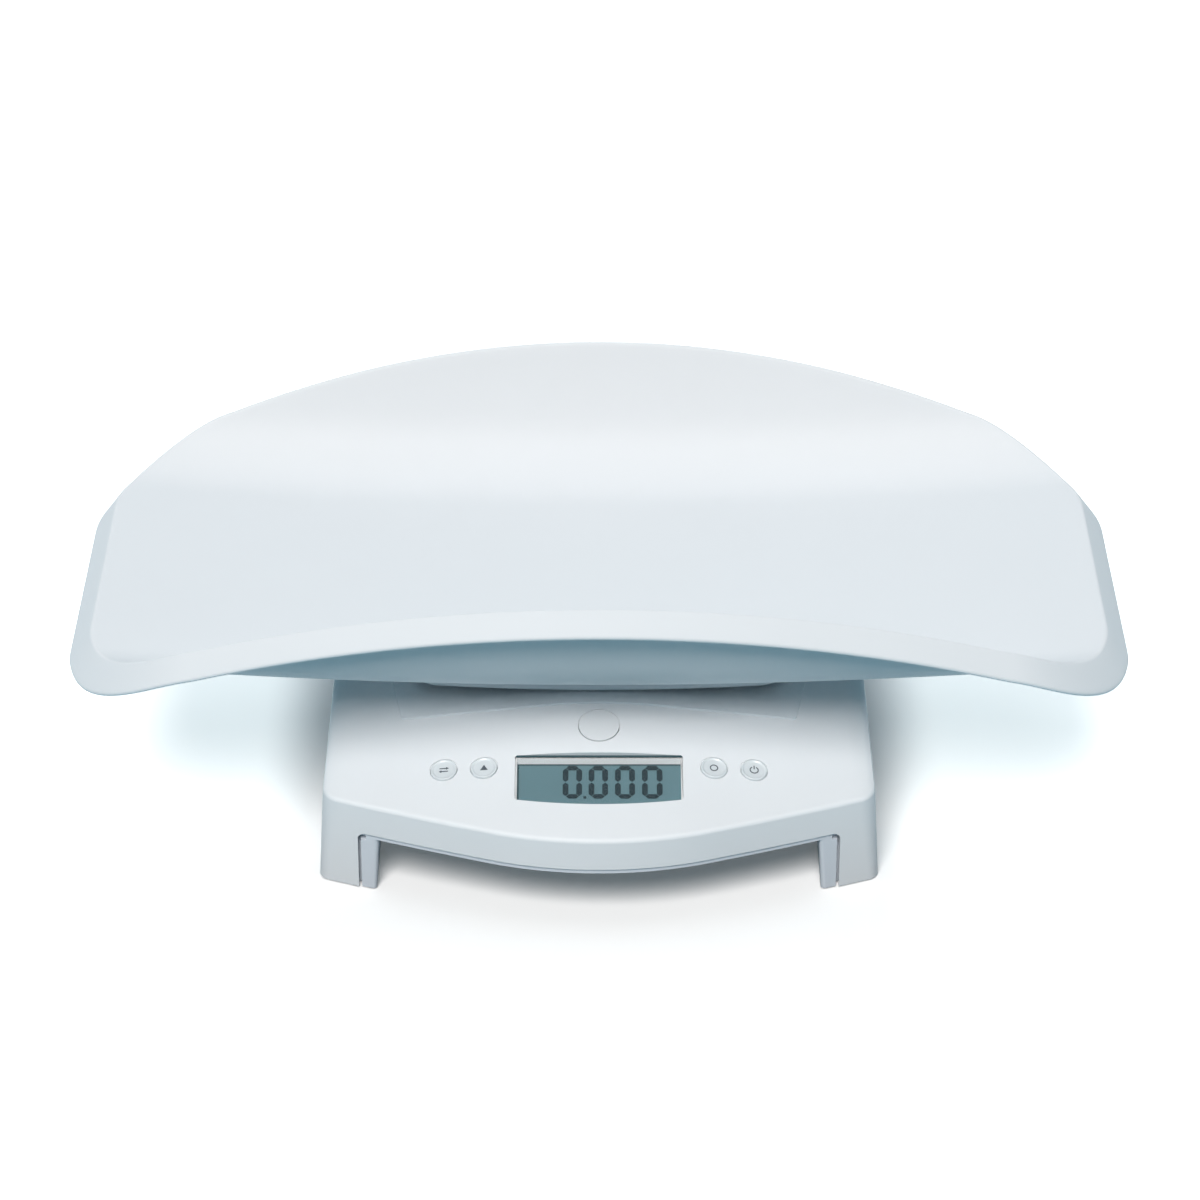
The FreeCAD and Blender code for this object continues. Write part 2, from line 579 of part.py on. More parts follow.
def rounded_form():
    """The base's outer form with its crease and the platform's rim rounded."""
    form = base_form(0, 0).removeSplitter()

    def level_edges(shape, z):
        return [edge for edge in shape.Edges
                if max(abs(edge.BoundBox.ZMin - z), abs(edge.BoundBox.ZMax - z)) < 0.1]

    crease = [edge for edge in level_edges(form, SKIRT_TOP) if edge.CenterOfMass.y < -LEG_FRONT_END]
    form = form.makeFillet(SKIRT_EDGE_ROUND, crease)
    return form.makeFillet(PLATFORM_EDGE_ROUND, level_edges(form, PLATFORM_TOP))


def leg_zones(inner, reach, z0, z1):
    """The four corner blocks that the legs stand in, reaching past the skins' ends by reach."""
    far = FRONT_REACH + 40
    blocks = []
    for sign in (-1, 1):
        low, high = sorted((sign * inner, sign * far))
        blocks.append(box(low, high, -far, reach - LEG_FRONT_END, z0, z1))
        blocks.append(box(low, high, LEG_REAR_START - reach, far, z0, z1))
    return blocks


def lean_wedges(inner):
    """Long wedges that make the columns' inner sides, at inner from the middle, lean as they go down."""
    wedges = []
    for sign in (-1, 1):
        section = [(-PAST, SKIRT_BOTTOM), (0, SKIRT_BOTTOM), (COLUMN_LEAN, 0), (-PAST, 0)]
        points = [V(sign * (inner + across), -BEYOND, rise) for across, rise in section]
        wedge = Part.Face(Part.makePolygon(points + points[:1]))
        wedges.append(wedge.extrude(V(0, 2 * BEYOND, 0)))
    return Part.makeCompound(wedges)


def eased_column(piece):
    """Rounds the outer corner beside the arch on one column's face."""
    upright = [edge for edge in piece.Edges if edge.BoundBox.ZLength > SKIRT_BOTTOM / 2]
    near = LEG_COLUMN_INNER + COLUMN_LEAN
    beside_arch = [edge for edge in upright if abs(edge.BoundBox.Center.x) < near]
    corner = max(beside_arch, key=lambda edge: abs(edge.BoundBox.Center.y))
    return piece.makeFillet(COLUMN_EDGE_ROUND, [corner])


def arch_cutters():
    """Blocks that open the skirt between the legs, front to back and side to side."""
    far = FRONT_REACH + 40
    low = -FRONT_REACH
    front = box(-LEG_WIDTH_INNER, LEG_WIDTH_INNER, -far, far, low, SKIRT_BOTTOM)
    side = box(-far, far, -LEG_FRONT_END, LEG_REAR_START, low, SKIRT_BOTTOM)

    def rounded(block, axis):
        tops = [edge for edge in block.Edges if abs(edge.BoundBox.ZMin - SKIRT_BOTTOM) < 1e-6]
        chosen = [edge for edge in tops if getattr(edge.BoundBox, axis) > far]
        return block.makeFillet(ARCH_ROUND, chosen)

    return [rounded(front, "YLength"), rounded(side, "XLength")]


# ================================================================ panel frame
def on_panel(shape):
    """Places a shape drawn with X across, Y up the slope and Z out of the panel."""
    placed = shape.copy()
    placed.rotate(V(0, 0, 0), V(1, 0, 0), math.degrees(PANEL_ANGLE))
    placed.translate(V(0, -FRONT_REACH, SKIRT_TOP))
    return placed


def panel_point(y, z):
    """Slope distance and height on the panel's frame of a point of the base's middle plane."""
    dy, dz = y + FRONT_REACH, z - SKIRT_TOP
    along = dy * math.cos(PANEL_ANGLE) + dz * math.sin(PANEL_ANGLE)
    out = dz * math.cos(PANEL_ANGLE) - dy * math.sin(PANEL_ANGLE)
    return along, out


def key_places(form):
    """Each key's name, side place, slope distance and surface height on the panel's frame."""
    places = []
    inner, outer = WINDOW_LOW + KEY_INNER_RISE, WINDOW_LOW + KEY_OUTER_RISE
    rows = (("key_swap", -KEY_OUTER_X, outer), ("key_hold", -KEY_INNER_X, inner),
            ("key_zero", KEY_INNER_X, inner), ("key_power", KEY_OUTER_X, outer))
    for name, x, along in rows:
        probe = on_panel(Part.makeLine(V(x, along, -BOARD_DEPTH), V(x, along, BOARD_DEPTH)))
        surface = form.common(probe).BoundBox
        places.append((name, x, along, panel_point(surface.YMin, surface.ZMax)[1]))
    return places


def window_wire(grow, z):
    """Outline of the display window: straight top and sides, the lower edge bowed."""
    half, low, high = WINDOW_HALF_WIDTH + grow, WINDOW_LOW - grow, WINDOW_HIGH + grow
    corners = [V(-half, high, z), V(half, high, z), V(half, low, z), V(-half, low, z)]
    edges = [Part.LineSegment(corners[0], corners[1]), Part.LineSegment(corners[1], corners[2]),
             Part.Arc(corners[2], V(0, low - WINDOW_BOW, z), corners[3]),
             Part.LineSegment(corners[3], corners[0])]
    return Part.Wire([edge.toShape() for edge in edges])


def window_block(grow, z0, z1):
    return Part.Face(window_wire(grow, z0)).extrude(V(0, 0, z1 - z0))


# ================================================================ shared places
BOSS_LOW = TRAY_FLOOR - TRAY_WALL - TRAY_BOSS_LENGTH
PAN_BOTTOM = SKIRT_BOTTOM - LOWER_PLATE
BOSS_SEAT = SKIRT_BOTTOM + 4.0    # where the two housings' bosses meet
CARRIER_SKIN_TOP = BOSS_LOW
CARRIER_SKIN_LOW = BOSS_LOW - CARRIER_TOP_WALL
CELL_Z = PAN_BOTTOM + DOOR_THICK + CELL_LIFT + CELL_RADIUS
BAY_HALF_X = CELL_LENGTH / 2 + CONTACT_DEPTH
BAY_HALF_Y = CELL_COUNT * CELL_PITCH / 2 + BAY_ROOM
BAY_TOP = CELL_Z + CELL_RADIUS + BAY_ROOM
DOOR_HALF_X = BAY_HALF_X + DOOR_MARGIN
DOOR_FRONT_Y = BAY_CENTRE_Y - BAY_HALF_Y - DOOR_MARGIN
DOOR_REAR_Y = BAY_CENTRE_Y + BAY_HALF_Y + DOOR_MARGIN
HINGE_Z = PAN_BOTTOM + DOOR_THICK / 2
LATCH_REAR_Y = -LUG_FRONT - LATCH_GAP
HOUSING_HEAD_Z = PAN_BOTTOM + HOUSING_SCREW_SINK
SHELF_TOP = SHELF_BOTTOM + SHELF_THICK
BOARD_LEVEL = -BOARD_DEPTH
WINDOW_UNDER = -WINDOW_SINK - WINDOW_THICK
LCD_TOP = WINDOW_UNDER - LCD_RECESS
BUTTON_FLANGE_TOP = -SHELL_WALL - FIT_GAP
BUTTON_UNDER = BUTTON_FLANGE_TOP - BUTTON_FLANGE_THICK
BUTTON_UNDER_Y = BUTTON_ALONG * math.cos(PANEL_ANGLE) - BUTTON_UNDER * math.sin(PANEL_ANGLE) - FRONT_REACH
BUTTON_UNDER_Z = BUTTON_ALONG * math.sin(PANEL_ANGLE) + BUTTON_UNDER * math.cos(PANEL_ANGLE) + SKIRT_TOP
LATCH_ARM_Z = BUTTON_UNDER_Z - LATCH_ARM_GAP
LATCH_ARM_FRONT = BUTTON_UNDER_Y - LATCH_ARM_OVER
BOSS_ROWS = ((BOSS_SIDE_X, BOSS_FRONT_Y), (BOSS_SIDE_X, BOSS_MIDDLE_Y), (BOSS_REAR_X, BOSS_REAR_Y))
BOSS_PLACES = [(side * x, y) for x, y in BOSS_ROWS for side in (-1, 1)]


def tray_boss_places():
    return [(sx * TRAY_BOSS_X, sy * TRAY_BOSS_Y) for sx in (-1, 1) for sy in (-1, 1)]


def pad_places():
    return [(sx * PAD_X, sy * PAD_Y) for sx in (-1, 1) for sy in (-1, 1)]


def foot_places():
    return [("front_left", -FOOT_X, FOOT_FRONT_Y), ("front_right", FOOT_X, FOOT_FRONT_Y),
            ("rear_left", -FOOT_X, FOOT_REAR_Y), ("rear_right", FOOT_X, FOOT_REAR_Y)]


def plate_wire():
    points = [V(-PLATE_FRONT_HALF, -PLATE_FRONT, 0), V(PLATE_FRONT_HALF, -PLATE_FRONT, 0),
              V(PLATE_SIDE_HALF, -PLATE_SIDE_START, 0), V(PLATE_SIDE_HALF, PLATE_REAR, 0),
              V(-PLATE_SIDE_HALF, PLATE_REAR, 0), V(-PLATE_SIDE_HALF, -PLATE_SIDE_START, 0)]
    return rounded_plate(points, PLATE_ROUND)


def lug_slot():
    """The slot in the housing and its plate that the carrier's lug drops through."""
    room = LUG_SLOT_ROOM
    return box(-LUG_HALF_WIDTH - room, LUG_HALF_WIDTH + room, -LUG_FRONT - room,
               -LUG_FRONT + LUG_THICKNESS + room, LUG_BOTTOM, PLATFORM_TOP + 5)


# ================================================================ base parts
def upper_housing(form):
    shell = form.cut(base_form(SHELL_WALL, -PAST))
    shell = shell.cut(box(-BEYOND, BEYOND, -BEYOND, BEYOND, -SKIRT_BOTTOM, FLOOR_GAP))
    for cutter in arch_cutters():
        shell = shell.cut(cutter)
    bosses = [post(x, y, BOSS_SEAT, PLATFORM_TOP, BOSS_RADIUS).common(form) for x, y in BOSS_PLACES]
    shell = shell.multiFuse(bosses + board_pillars(form))
    screw_top = HOUSING_HEAD_Z + HOUSING_SCREW_LENGTH + BOSS_RADIUS
    holes = [post(x, y, SKIRT_BOTTOM, screw_top, SCREW_RADIUS) for x, y in BOSS_PLACES]
    holes.append(on_panel(window_block(0, -BOARD_DEPTH / 2, BOARD_DEPTH / 2)))
    below_grooves = form.copy()
    below_grooves.translate(V(0, 0, -GROOVE_DEPTH))
    rounds = [(x, along, out, KEY_RADIUS) for _, x, along, out in key_places(form)]
    rounds.append((0, BUTTON_ALONG, 0, BUTTON_RADIUS))
    for x, along, out, radius in rounds:
        low, high = out - 4 * SHELL_WALL, out + 4 * SHELL_WALL
        holes.append(on_panel(post(x, along, low, high, radius + RUN_GAP)))
        holes.append(on_panel(post(x, along, low, high, radius + RUN_GAP + GROOVE_WIDTH)).cut(below_grooves))
    holes.append(lug_slot())
    return shell.cut(Part.makeCompound(holes))


def platform_plate(form):
    raised = form.copy()
    raised.translate(V(0, 0, PLATE_RISE))
    return raised.common(prism(plate_wire(), SKIRT_TOP, PLATFORM_TOP + 10)).cut(form).cut(lug_slot())


def lower_housing():
    beside_rounds = LEG_WIDTH_INNER - ARCH_ROUND - FIT_GAP
    round_reach = ARCH_ROUND + FIT_GAP
    near_legs = leg_zones(beside_rounds, round_reach, 0, PLATFORM_TOP)
    near_legs_top = leg_zones(beside_rounds, round_reach, SKIRT_BOTTOM - round_reach, PLATFORM_TOP)
    plate = prism(skirt_outline(LOWER_INSET, PAN_BOTTOM), PAN_BOTTOM, SKIRT_BOTTOM)
    inner_plate = prism(skirt_outline(SHELL_WALL + FIT_GAP, PAN_BOTTOM), PAN_BOTTOM, SKIRT_BOTTOM)
    plate = plate.cut(Part.makeCompound(near_legs)).fuse(inner_plate)
    lip_inset = SHELL_WALL + FIT_GAP
    lip = prism(skirt_outline(lip_inset + LIP_TAPER, SKIRT_BOTTOM), SKIRT_BOTTOM, SKIRT_BOTTOM + LIP_HEIGHT)
    lip_room = skirt_outline(lip_inset + LIP_TAPER + LIP_THICK, SKIRT_BOTTOM - PAST)
    lip = lip.cut(prism(lip_room, SKIRT_BOTTOM - PAST, SKIRT_BOTTOM + LIP_HEIGHT + PAST))
    pieces = [plate, lip]
    column = prism(skirt_outline(LEG_COLUMN_INSET, FLOOR_GAP), FLOOR_GAP, SKIRT_BOTTOM)
    hollow = prism(skirt_outline(LEG_COLUMN_INSET + COLUMN_WALL, 0), 0, SKIRT_BOTTOM + LIP_HEIGHT + PAST)
    column_zones = leg_zones(LEG_COLUMN_INNER, LEG_COLUMN_REACH, 0, PLATFORM_TOP)
    inner_zones = leg_zones(LEG_COLUMN_INNER + COLUMN_WALL, LEG_COLUMN_REACH - COLUMN_WALL, 0, PLATFORM_TOP)
    column = column.cut(lean_wedges(LEG_COLUMN_INNER))
    hollow = hollow.cut(lean_wedges(LEG_COLUMN_INNER + COLUMN_WALL))
    pieces += [column.common(zone) for zone in column_zones]
    face = prism(skirt_outline(LOWER_INSET, FLOOR_GAP), FLOOR_GAP, SKIRT_BOTTOM)
    skins = leg_zones(LEG_WIDTH_INNER - LEG_COLUMN_GAP, round_reach, 0, SKIRT_BOTTOM - round_reach)
    face = face.cut(Part.makeCompound(skins)).cut(Part.makeCompound(near_legs_top))
    face = face.cut(lean_wedges(LEG_COLUMN_INNER))
    pieces += [eased_column(face.common(zone)) for zone in column_zones]
    hollows = [hollow.common(zone) for zone in inner_zones]
    pieces += [post(x, y, PAN_BOTTOM, BOSS_SEAT, BOSS_RADIUS + LIP_THICK) for x, y in BOSS_PLACES]
    wide = DOOR_MARGIN + BAY_WALL
    pieces.append(box(-BAY_HALF_X - wide, BAY_HALF_X + wide, DOOR_FRONT_Y - DOOR_THICK - BAY_WALL,
                      DOOR_REAR_Y + BAY_WALL, PAN_BOTTOM, PAN_BOTTOM + DOOR_THICK + FIT_GAP + BAY_WALL))
    pieces.append(box(-BAY_HALF_X - BAY_WALL, BAY_HALF_X + BAY_WALL, BAY_CENTRE_Y - BAY_HALF_Y - BAY_WALL,
                      BAY_CENTRE_Y + BAY_HALF_Y + BAY_WALL, PAN_BOTTOM, BAY_TOP + BAY_WALL))
    strip_front = LATCH_REAR_Y - LATCH_STRIP
    post_half = LATCH_HALF_WIDTH + PAST
    post_front = strip_front - LATCH_POST_DEPTH
    pieces.append(box(-post_half, post_half, post_front, strip_front, PAN_BOTTOM, LATCH_POST_TOP))
    pan = pieces[0].multiFuse(pieces[1:])
    shelf_layer = box(-BEYOND, BEYOND, -BEYOND, BEYOND, SHELF_BOTTOM, SHELF_TOP)
    shelves = [block.common(shelf_layer) for block in hollows]
    pan = pan.cut(Part.makeCompound(hollows)).multiFuse(shelves)
    relief = TONGUE_HALF + TONGUE_SLOT + TONGUE_RELIEF
    relief_top = SHELF_BOTTOM + TONGUE_RELIEF
    cuts = [post(x, y, SHELF_BOTTOM - PAST, relief_top, relief) for _, x, y in foot_places()]
    cuts += [post(x, y, SHELF_BOTTOM - PAST, SHELF_TOP + PAST, SCREW_RADIUS) for x, y in cell_screw_places()]
    cuts += [post(wire_x(x), y, SHELF_BOTTOM - PAST, SHELF_TOP + PAST, WIRE_RADIUS + FIT_GAP)
             for _, x, y in foot_places()]
    for x, y in BOSS_PLACES:
        cuts.append(post(x, y, PAN_BOTTOM - PAST, BOSS_SEAT + PAST, SCREW_RADIUS + SCREW_CLEAR))
        cuts.append(post(x, y, PAN_BOTTOM - PAST, HOUSING_HEAD_Z, SCREW_HEAD_RADIUS + SCREW_CLEAR))
    cuts.append(box(-BAY_HALF_X, BAY_HALF_X, BAY_CENTRE_Y - BAY_HALF_Y, BAY_CENTRE_Y + BAY_HALF_Y,
                    PAN_BOTTOM - PAST, BAY_TOP))
    cuts.append(door_opening())
    cuts.append(door_pins(DOOR_PIN_FIT, DOOR_PIN_FIT))
    screw_start = V(0, LATCH_REAR_Y, LATCH_SCREW_Z)
    cuts.append(Part.makeCylinder(SCREW_RADIUS, LATCH_SCREW_LENGTH, screw_start, V(0, -1, 0)))
    return pan.cut(Part.makeCompound(cuts))


# ================================================================ battery bay
def door_opening():
    """The stepped opening that the door closes, with room for its rounded hinge edge."""
    return box(-DOOR_HALF_X - FIT_GAP, DOOR_HALF_X + FIT_GAP, DOOR_FRONT_Y - DOOR_THICK / 2 - FIT_GAP,
               DOOR_REAR_Y + FIT_GAP, PAN_BOTTOM - PAST, PAN_BOTTOM + DOOR_THICK + FIT_GAP)


def door_pins(radius_gap, length_gap):
    """Stub pins on the door's hinge line, or their holes when the gaps are given."""
    reach = FIT_GAP + DOOR_PIN_LENGTH + length_gap
    start = V(DOOR_HALF_X - PAST, DOOR_FRONT_Y, HINGE_Z)
    pin = Part.makeCylinder(DOOR_PIN_RADIUS + radius_gap, reach + PAST, start, V(1, 0, 0))
    return pin.fuse(mirrored_x(pin))


def battery_door():
    half = DOOR_THICK / 2
    leaf = box(-DOOR_HALF_X, DOOR_HALF_X, DOOR_FRONT_Y, DOOR_REAR_Y, PAN_BOTTOM, PAN_BOTTOM + DOOR_THICK)
    edge = Part.makeCylinder(half, 2 * DOOR_HALF_X, V(-DOOR_HALF_X, DOOR_FRONT_Y, HINGE_Z), V(1, 0, 0))
    notch = Part.makeCylinder(NOTCH_RADIUS, DOOR_THICK, V(0, DOOR_REAR_Y + NOTCH_SETBACK, PAN_BOTTOM - half))
    grip_rows = [DOOR_REAR_Y - GRIP_START - GRIP_PITCH * i for i in range(GRIP_COUNT)]
    low, high = PAN_BOTTOM - PAST, PAN_BOTTOM + GRIP_DEPTH
    grips = [box(-GRIP_HALF_LENGTH, GRIP_HALF_LENGTH, y, y + GRIP_WIDTH, low, high) for y in grip_rows]
    return fused([leaf, edge, door_pins(0, 0)]).cut(notch).cut(Part.makeCompound(grips))


def cell_rows():
    first = BAY_CENTRE_Y - (CELL_COUNT - 1) * CELL_PITCH / 2
    return [first + i * CELL_PITCH for i in range(CELL_COUNT)]


def battery_cells():
    cells = []
    for i, y in enumerate(cell_rows()):
        start = V(-CELL_LENGTH / 2, y, CELL_Z)
        can = Part.makeCylinder(CELL_RADIUS, CELL_LENGTH - CELL_TIP, start, V(1, 0, 0))
        tip_start = V(CELL_LENGTH / 2 - CELL_TIP, y, CELL_Z)
        cell = can.fuse(Part.makeCylinder(CELL_TIP_RADIUS, CELL_TIP, tip_start, V(1, 0, 0)))
        if i % 2 == 0:
            cell.rotate(V(0, y, CELL_Z), UP, 180)
        cells.append(cell)
    return Part.makeCompound(cells)


def battery_contacts():
    """A plate against each end wall of the bay and a stud or short coil cone up to each cell."""
    pieces = []
    for side in (-1, 1):
        outer, inner = sorted((side * BAY_HALF_X, side * (BAY_HALF_X - CONTACT_STRIP)))
        for y in cell_rows():
            half = CONTACT_HALF
            plate = box(outer, inner, y - half, y + half, CELL_Z - half, CELL_Z + half)
            reach = CONTACT_DEPTH - CONTACT_STRIP
            start = V(side * (BAY_HALF_X - CONTACT_STRIP), y, CELL_Z)
            cone = Part.makeCone(CONTACT_CONE, CONTACT_CONE_TIP, reach, start, V(-side, 0, 0))
            pieces.append(plate.fuse(cone))
    return Part.makeCompound(pieces)


# ================================================================ display and board
def display_window():
    return on_panel(window_block(-WINDOW_FIT, WINDOW_UNDER, -WINDOW_SINK))


def display_frame():
    """Stands on the board, holds the glass and reaches up to the window with its neck."""
    shoulder = WINDOW_UNDER - FRAME_NECK
    neck = window_block(-WINDOW_FIT, shoulder, WINDOW_UNDER)
    body = window_block(FRAME_FLANGE, BOARD_LEVEL, shoulder).fuse(neck)
    room = window_block(LCD_MARGIN - VIEW_MARGIN + LCD_GAP, BOARD_LEVEL - PAST, LCD_TOP)
    view = window_block(-VIEW_MARGIN, LCD_TOP - PAST, WINDOW_UNDER + PAST)
    return on_panel(body.cut(room).cut(view))


def lcd_glass():
    return on_panel(window_block(LCD_MARGIN - VIEW_MARGIN, LCD_TOP - LCD_THICK, LCD_TOP))


def zebra_strips():
    """Two soft connector strips between the glass and the board."""
    half = WINDOW_HALF_WIDTH - ZEBRA_MARGIN
    top = WINDOW_HIGH - VIEW_MARGIN
    low = WINDOW_LOW + VIEW_MARGIN
    strips = [box(-half, half, y, y + ZEBRA_WIDTH, BOARD_LEVEL, LCD_TOP - LCD_THICK)
              for y in (low, top - ZEBRA_WIDTH)]
    return Part.makeCompound([on_panel(strip) for strip in strips])


def board_screw_places():
    places = ((BOARD_HALF_WIDTH - BOARD_SCREW_INSET, BOARD_LOW + BOARD_SCREW_RISE),
              (BOARD_SCREW_X, BOARD_HIGH - BOARD_SCREW_INSET))
    return [(side * x, y) for side in (-1, 1) for x, y in places]


def main_board():
    low, high = BOARD_LEVEL - BOARD_THICK, BOARD_LEVEL
    board = box(-BOARD_HALF_WIDTH, BOARD_HALF_WIDTH, BOARD_LOW, BOARD_HIGH, low, high)
    notch = box(BOARD_NOTCH_X, BOARD_HALF_WIDTH + PAST, BOARD_LOW - PAST,
                BOARD_LOW + BOARD_NOTCH, low - PAST, high + PAST)
    holes = [post(x, y, low - PAST, high + PAST, SCREW_RADIUS + SCREW_CLEAR) for x, y in board_screw_places()]
    return on_panel(board.cut(Part.makeCompound(holes + [notch, mirrored_x(notch)])))


def board_components():
    """Two chips, a clock can and two wire sockets on the board's underside."""

    def part(x, along, width, length, thick):
        top = BOARD_LEVEL - BOARD_THICK
        block = Part.makeBox(width, length, thick, V(x - width / 2, along - length / 2, top - thick))
        return on_panel(block)

    beside = BIG_CHIP / 2 + CHIP_SPACE
    pieces = [part(0, CHIP_ALONG, BIG_CHIP, BIG_CHIP, BIG_CHIP_THICK),
              part(beside + SMALL_CHIP / 2, CHIP_ALONG, SMALL_CHIP, SMALL_CHIP, SMALL_CHIP_THICK),
              part(-beside - CLOCK_WIDTH / 2, CHIP_ALONG, CLOCK_WIDTH, CLOCK_LENGTH, CLOCK_THICK)]
    pieces += [part(x, SOCKET_ALONG, 2 * SOCKET_HALF_WIDTH, 2 * SOCKET_HALF_LENGTH, SOCKET_DEPTH)
               for x in (-SOCKET_X, SOCKET_X)]
    return Part.makeCompound(pieces)


def keypad_mat(form):
    """Silicone mats with a dome under each key, one mat on each side of the display."""
    keys = key_places(form)
    mats = []
    for sign in (-1, 1):
        places = [(x, along) for _, x, along, _ in keys if x * sign > 0]
        margin = DOME_RADIUS + MAT_EDGE
        low, high = min(x for x, _ in places) - margin, max(x for x, _ in places) + margin
        rows = [along for _, along in places]
        mat = box(low, high, min(rows) - margin, max(rows) + margin, BOARD_LEVEL, BOARD_LEVEL + MAT_THICK)
        inside = DOME_RADIUS - DOME_WALL
        domes = [Part.makeCone(DOME_RADIUS, inside, DOME_HEIGHT, V(x, along, BOARD_LEVEL + MAT_THICK))
                 for x, along in places]
        hollows = [Part.makeCone(inside, inside - DOME_WALL, DOME_HEIGHT, V(x, along, BOARD_LEVEL))
                   for x, along in places]
        mats.append(on_panel(mat.multiFuse(domes).cut(Part.makeCompound(hollows))))
    return Part.makeCompound(mats)


def key_cap(form, x, along, out):
    """A round key: cap through the panel, a flange behind it and a stem down to the dome."""
    raised = form.copy()
    raised.translate(V(0, 0, KEY_PROUD))
    flange_top = out - SHELL_WALL - KEY_FLANGE_DROP
    cap = post(x, along, flange_top - KEY_FLANGE_THICK, out + 2 * SHELL_WALL, KEY_RADIUS)
    cap = on_panel(cap).common(raised)
    flange = post(x, along, flange_top - KEY_FLANGE_THICK, flange_top, KEY_RADIUS + KEY_FLANGE)
    stem = post(x, along, BOARD_LEVEL + MAT_THICK + DOME_HEIGHT, flange_top, DOME_RADIUS - DOME_WALL)
    return cap.fuse(on_panel(flange.fuse(stem)))


def board_screws():
    """Four screws through the board, up into the housing's pillars."""
    return Part.makeCompound([on_panel(screw(x, y, BOARD_LEVEL - BOARD_THICK, BOARD_SCREW_LENGTH))
                              for x, y in board_screw_places()])


def board_pillars(form):
    """Pillars under the panel that the board is screwed to."""
    pillars = []
    for x, y in board_screw_places():
        pillar = on_panel(post(x, y, BOARD_LEVEL, BOARD_DEPTH / 2, PILLAR_RADIUS)).common(form)
        hole_top = BOARD_LEVEL + BOARD_SCREW_LENGTH - BOARD_THICK + SCREW_CLEAR
        hole = on_panel(post(x, y, BOARD_LEVEL - PAST, hole_top, SCREW_RADIUS))
        pillars.append(pillar.cut(hole))
    return pillars


# ================================================================ tray latch
def release_button(form):
    raised = form.copy()
    raised.translate(V(0, 0, BUTTON_PROUD))
    cap = on_panel(post(0, BUTTON_ALONG, BUTTON_UNDER, 2 * SHELL_WALL, BUTTON_RADIUS)).common(raised)
    flange = post(0, BUTTON_ALONG, BUTTON_UNDER, BUTTON_FLANGE_TOP, BUTTON_RADIUS + BUTTON_FLANGE)
    return cap.fuse(on_panel(flange))


def latch_spring():
    """One bent steel strip: foot on its post, arm under the button and nose in the carrier's lug."""
    y1 = LATCH_REAR_Y
    y0 = y1 - LATCH_STRIP
    w = LATCH_HALF_WIDTH
    leaf = box(-w, w, y0, y1, LATCH_FOOT_Z, LATCH_ARM_Z)
    arm = box(-w, w, LATCH_ARM_FRONT, y1, LATCH_ARM_Z - LATCH_STRIP, LATCH_ARM_Z)
    nose_z = (LUG_WINDOW_LOW + LUG_WINDOW_HIGH) / 2
    low, high = nose_z - LATCH_STRIP / 2, nose_z + LATCH_STRIP / 2
    tip = -LUG_FRONT + LUG_THICKNESS - LATCH_NOSE_ROOM
    riser = box(-LATCH_NOSE_HALF, LATCH_NOSE_HALF, y0, y1, LATCH_ARM_Z - LATCH_STRIP, high)
    nose = box(-LATCH_NOSE_HALF, LATCH_NOSE_HALF, y0, tip, low, high)
    hole_start = V(0, y0 - PAST, LATCH_SCREW_Z)
    hole = Part.makeCylinder(SCREW_RADIUS + SCREW_CLEAR, LATCH_STRIP + 2 * PAST, hole_start, V(0, 1, 0))
    return fused([leaf, arm, riser, nose]).cut(hole)


def latch_screw():
    body = screw(0, 0, 0, LATCH_SCREW_LENGTH)
    body.rotate(V(0, 0, 0), V(1, 0, 0), 90)
    body.translate(V(0, LATCH_REAR_Y, LATCH_SCREW_Z))
    return body


# ================================================================ tray carrier
def carrier_wire():
    half = CARRIER_HALF_WIDTH
    sag = CARRIER_BOW_RADIUS - math.sqrt(CARRIER_BOW_RADIUS ** 2 - (half - CARRIER_ROUND) ** 2)
    front = -CARRIER_FRONT
    r = CARRIER_ROUND
    side = half - r
    quarter = math.sqrt(0.5)

    def corner(sx, cy, sy):
        centre = V(sx * side, cy, 0)
        middle = centre + V(sx * quarter, sy * quarter, 0) * r
        return Part.Arc(centre + V(0, sy * r, 0), middle, centre + V(sx * r, 0, 0))

    front_y = front + sag + r
    rear_y = CARRIER_REAR - r
    edges = [
        Part.Arc(V(-side, front + sag, 0), V(0, front, 0), V(side, front + sag, 0)),
        corner(1, front_y, -1),
        Part.LineSegment(V(half, front_y, 0), V(half, rear_y, 0)),
        corner(1, rear_y, 1),
        Part.LineSegment(V(side, CARRIER_REAR, 0), V(-side, CARRIER_REAR, 0)),
        corner(-1, rear_y, 1),
        Part.LineSegment(V(-half, rear_y, 0), V(-half, front_y, 0)),
        corner(-1, front_y, -1),
    ]
    return Part.Wire(Part.__sortEdges__([edge.toShape() for edge in edges]))


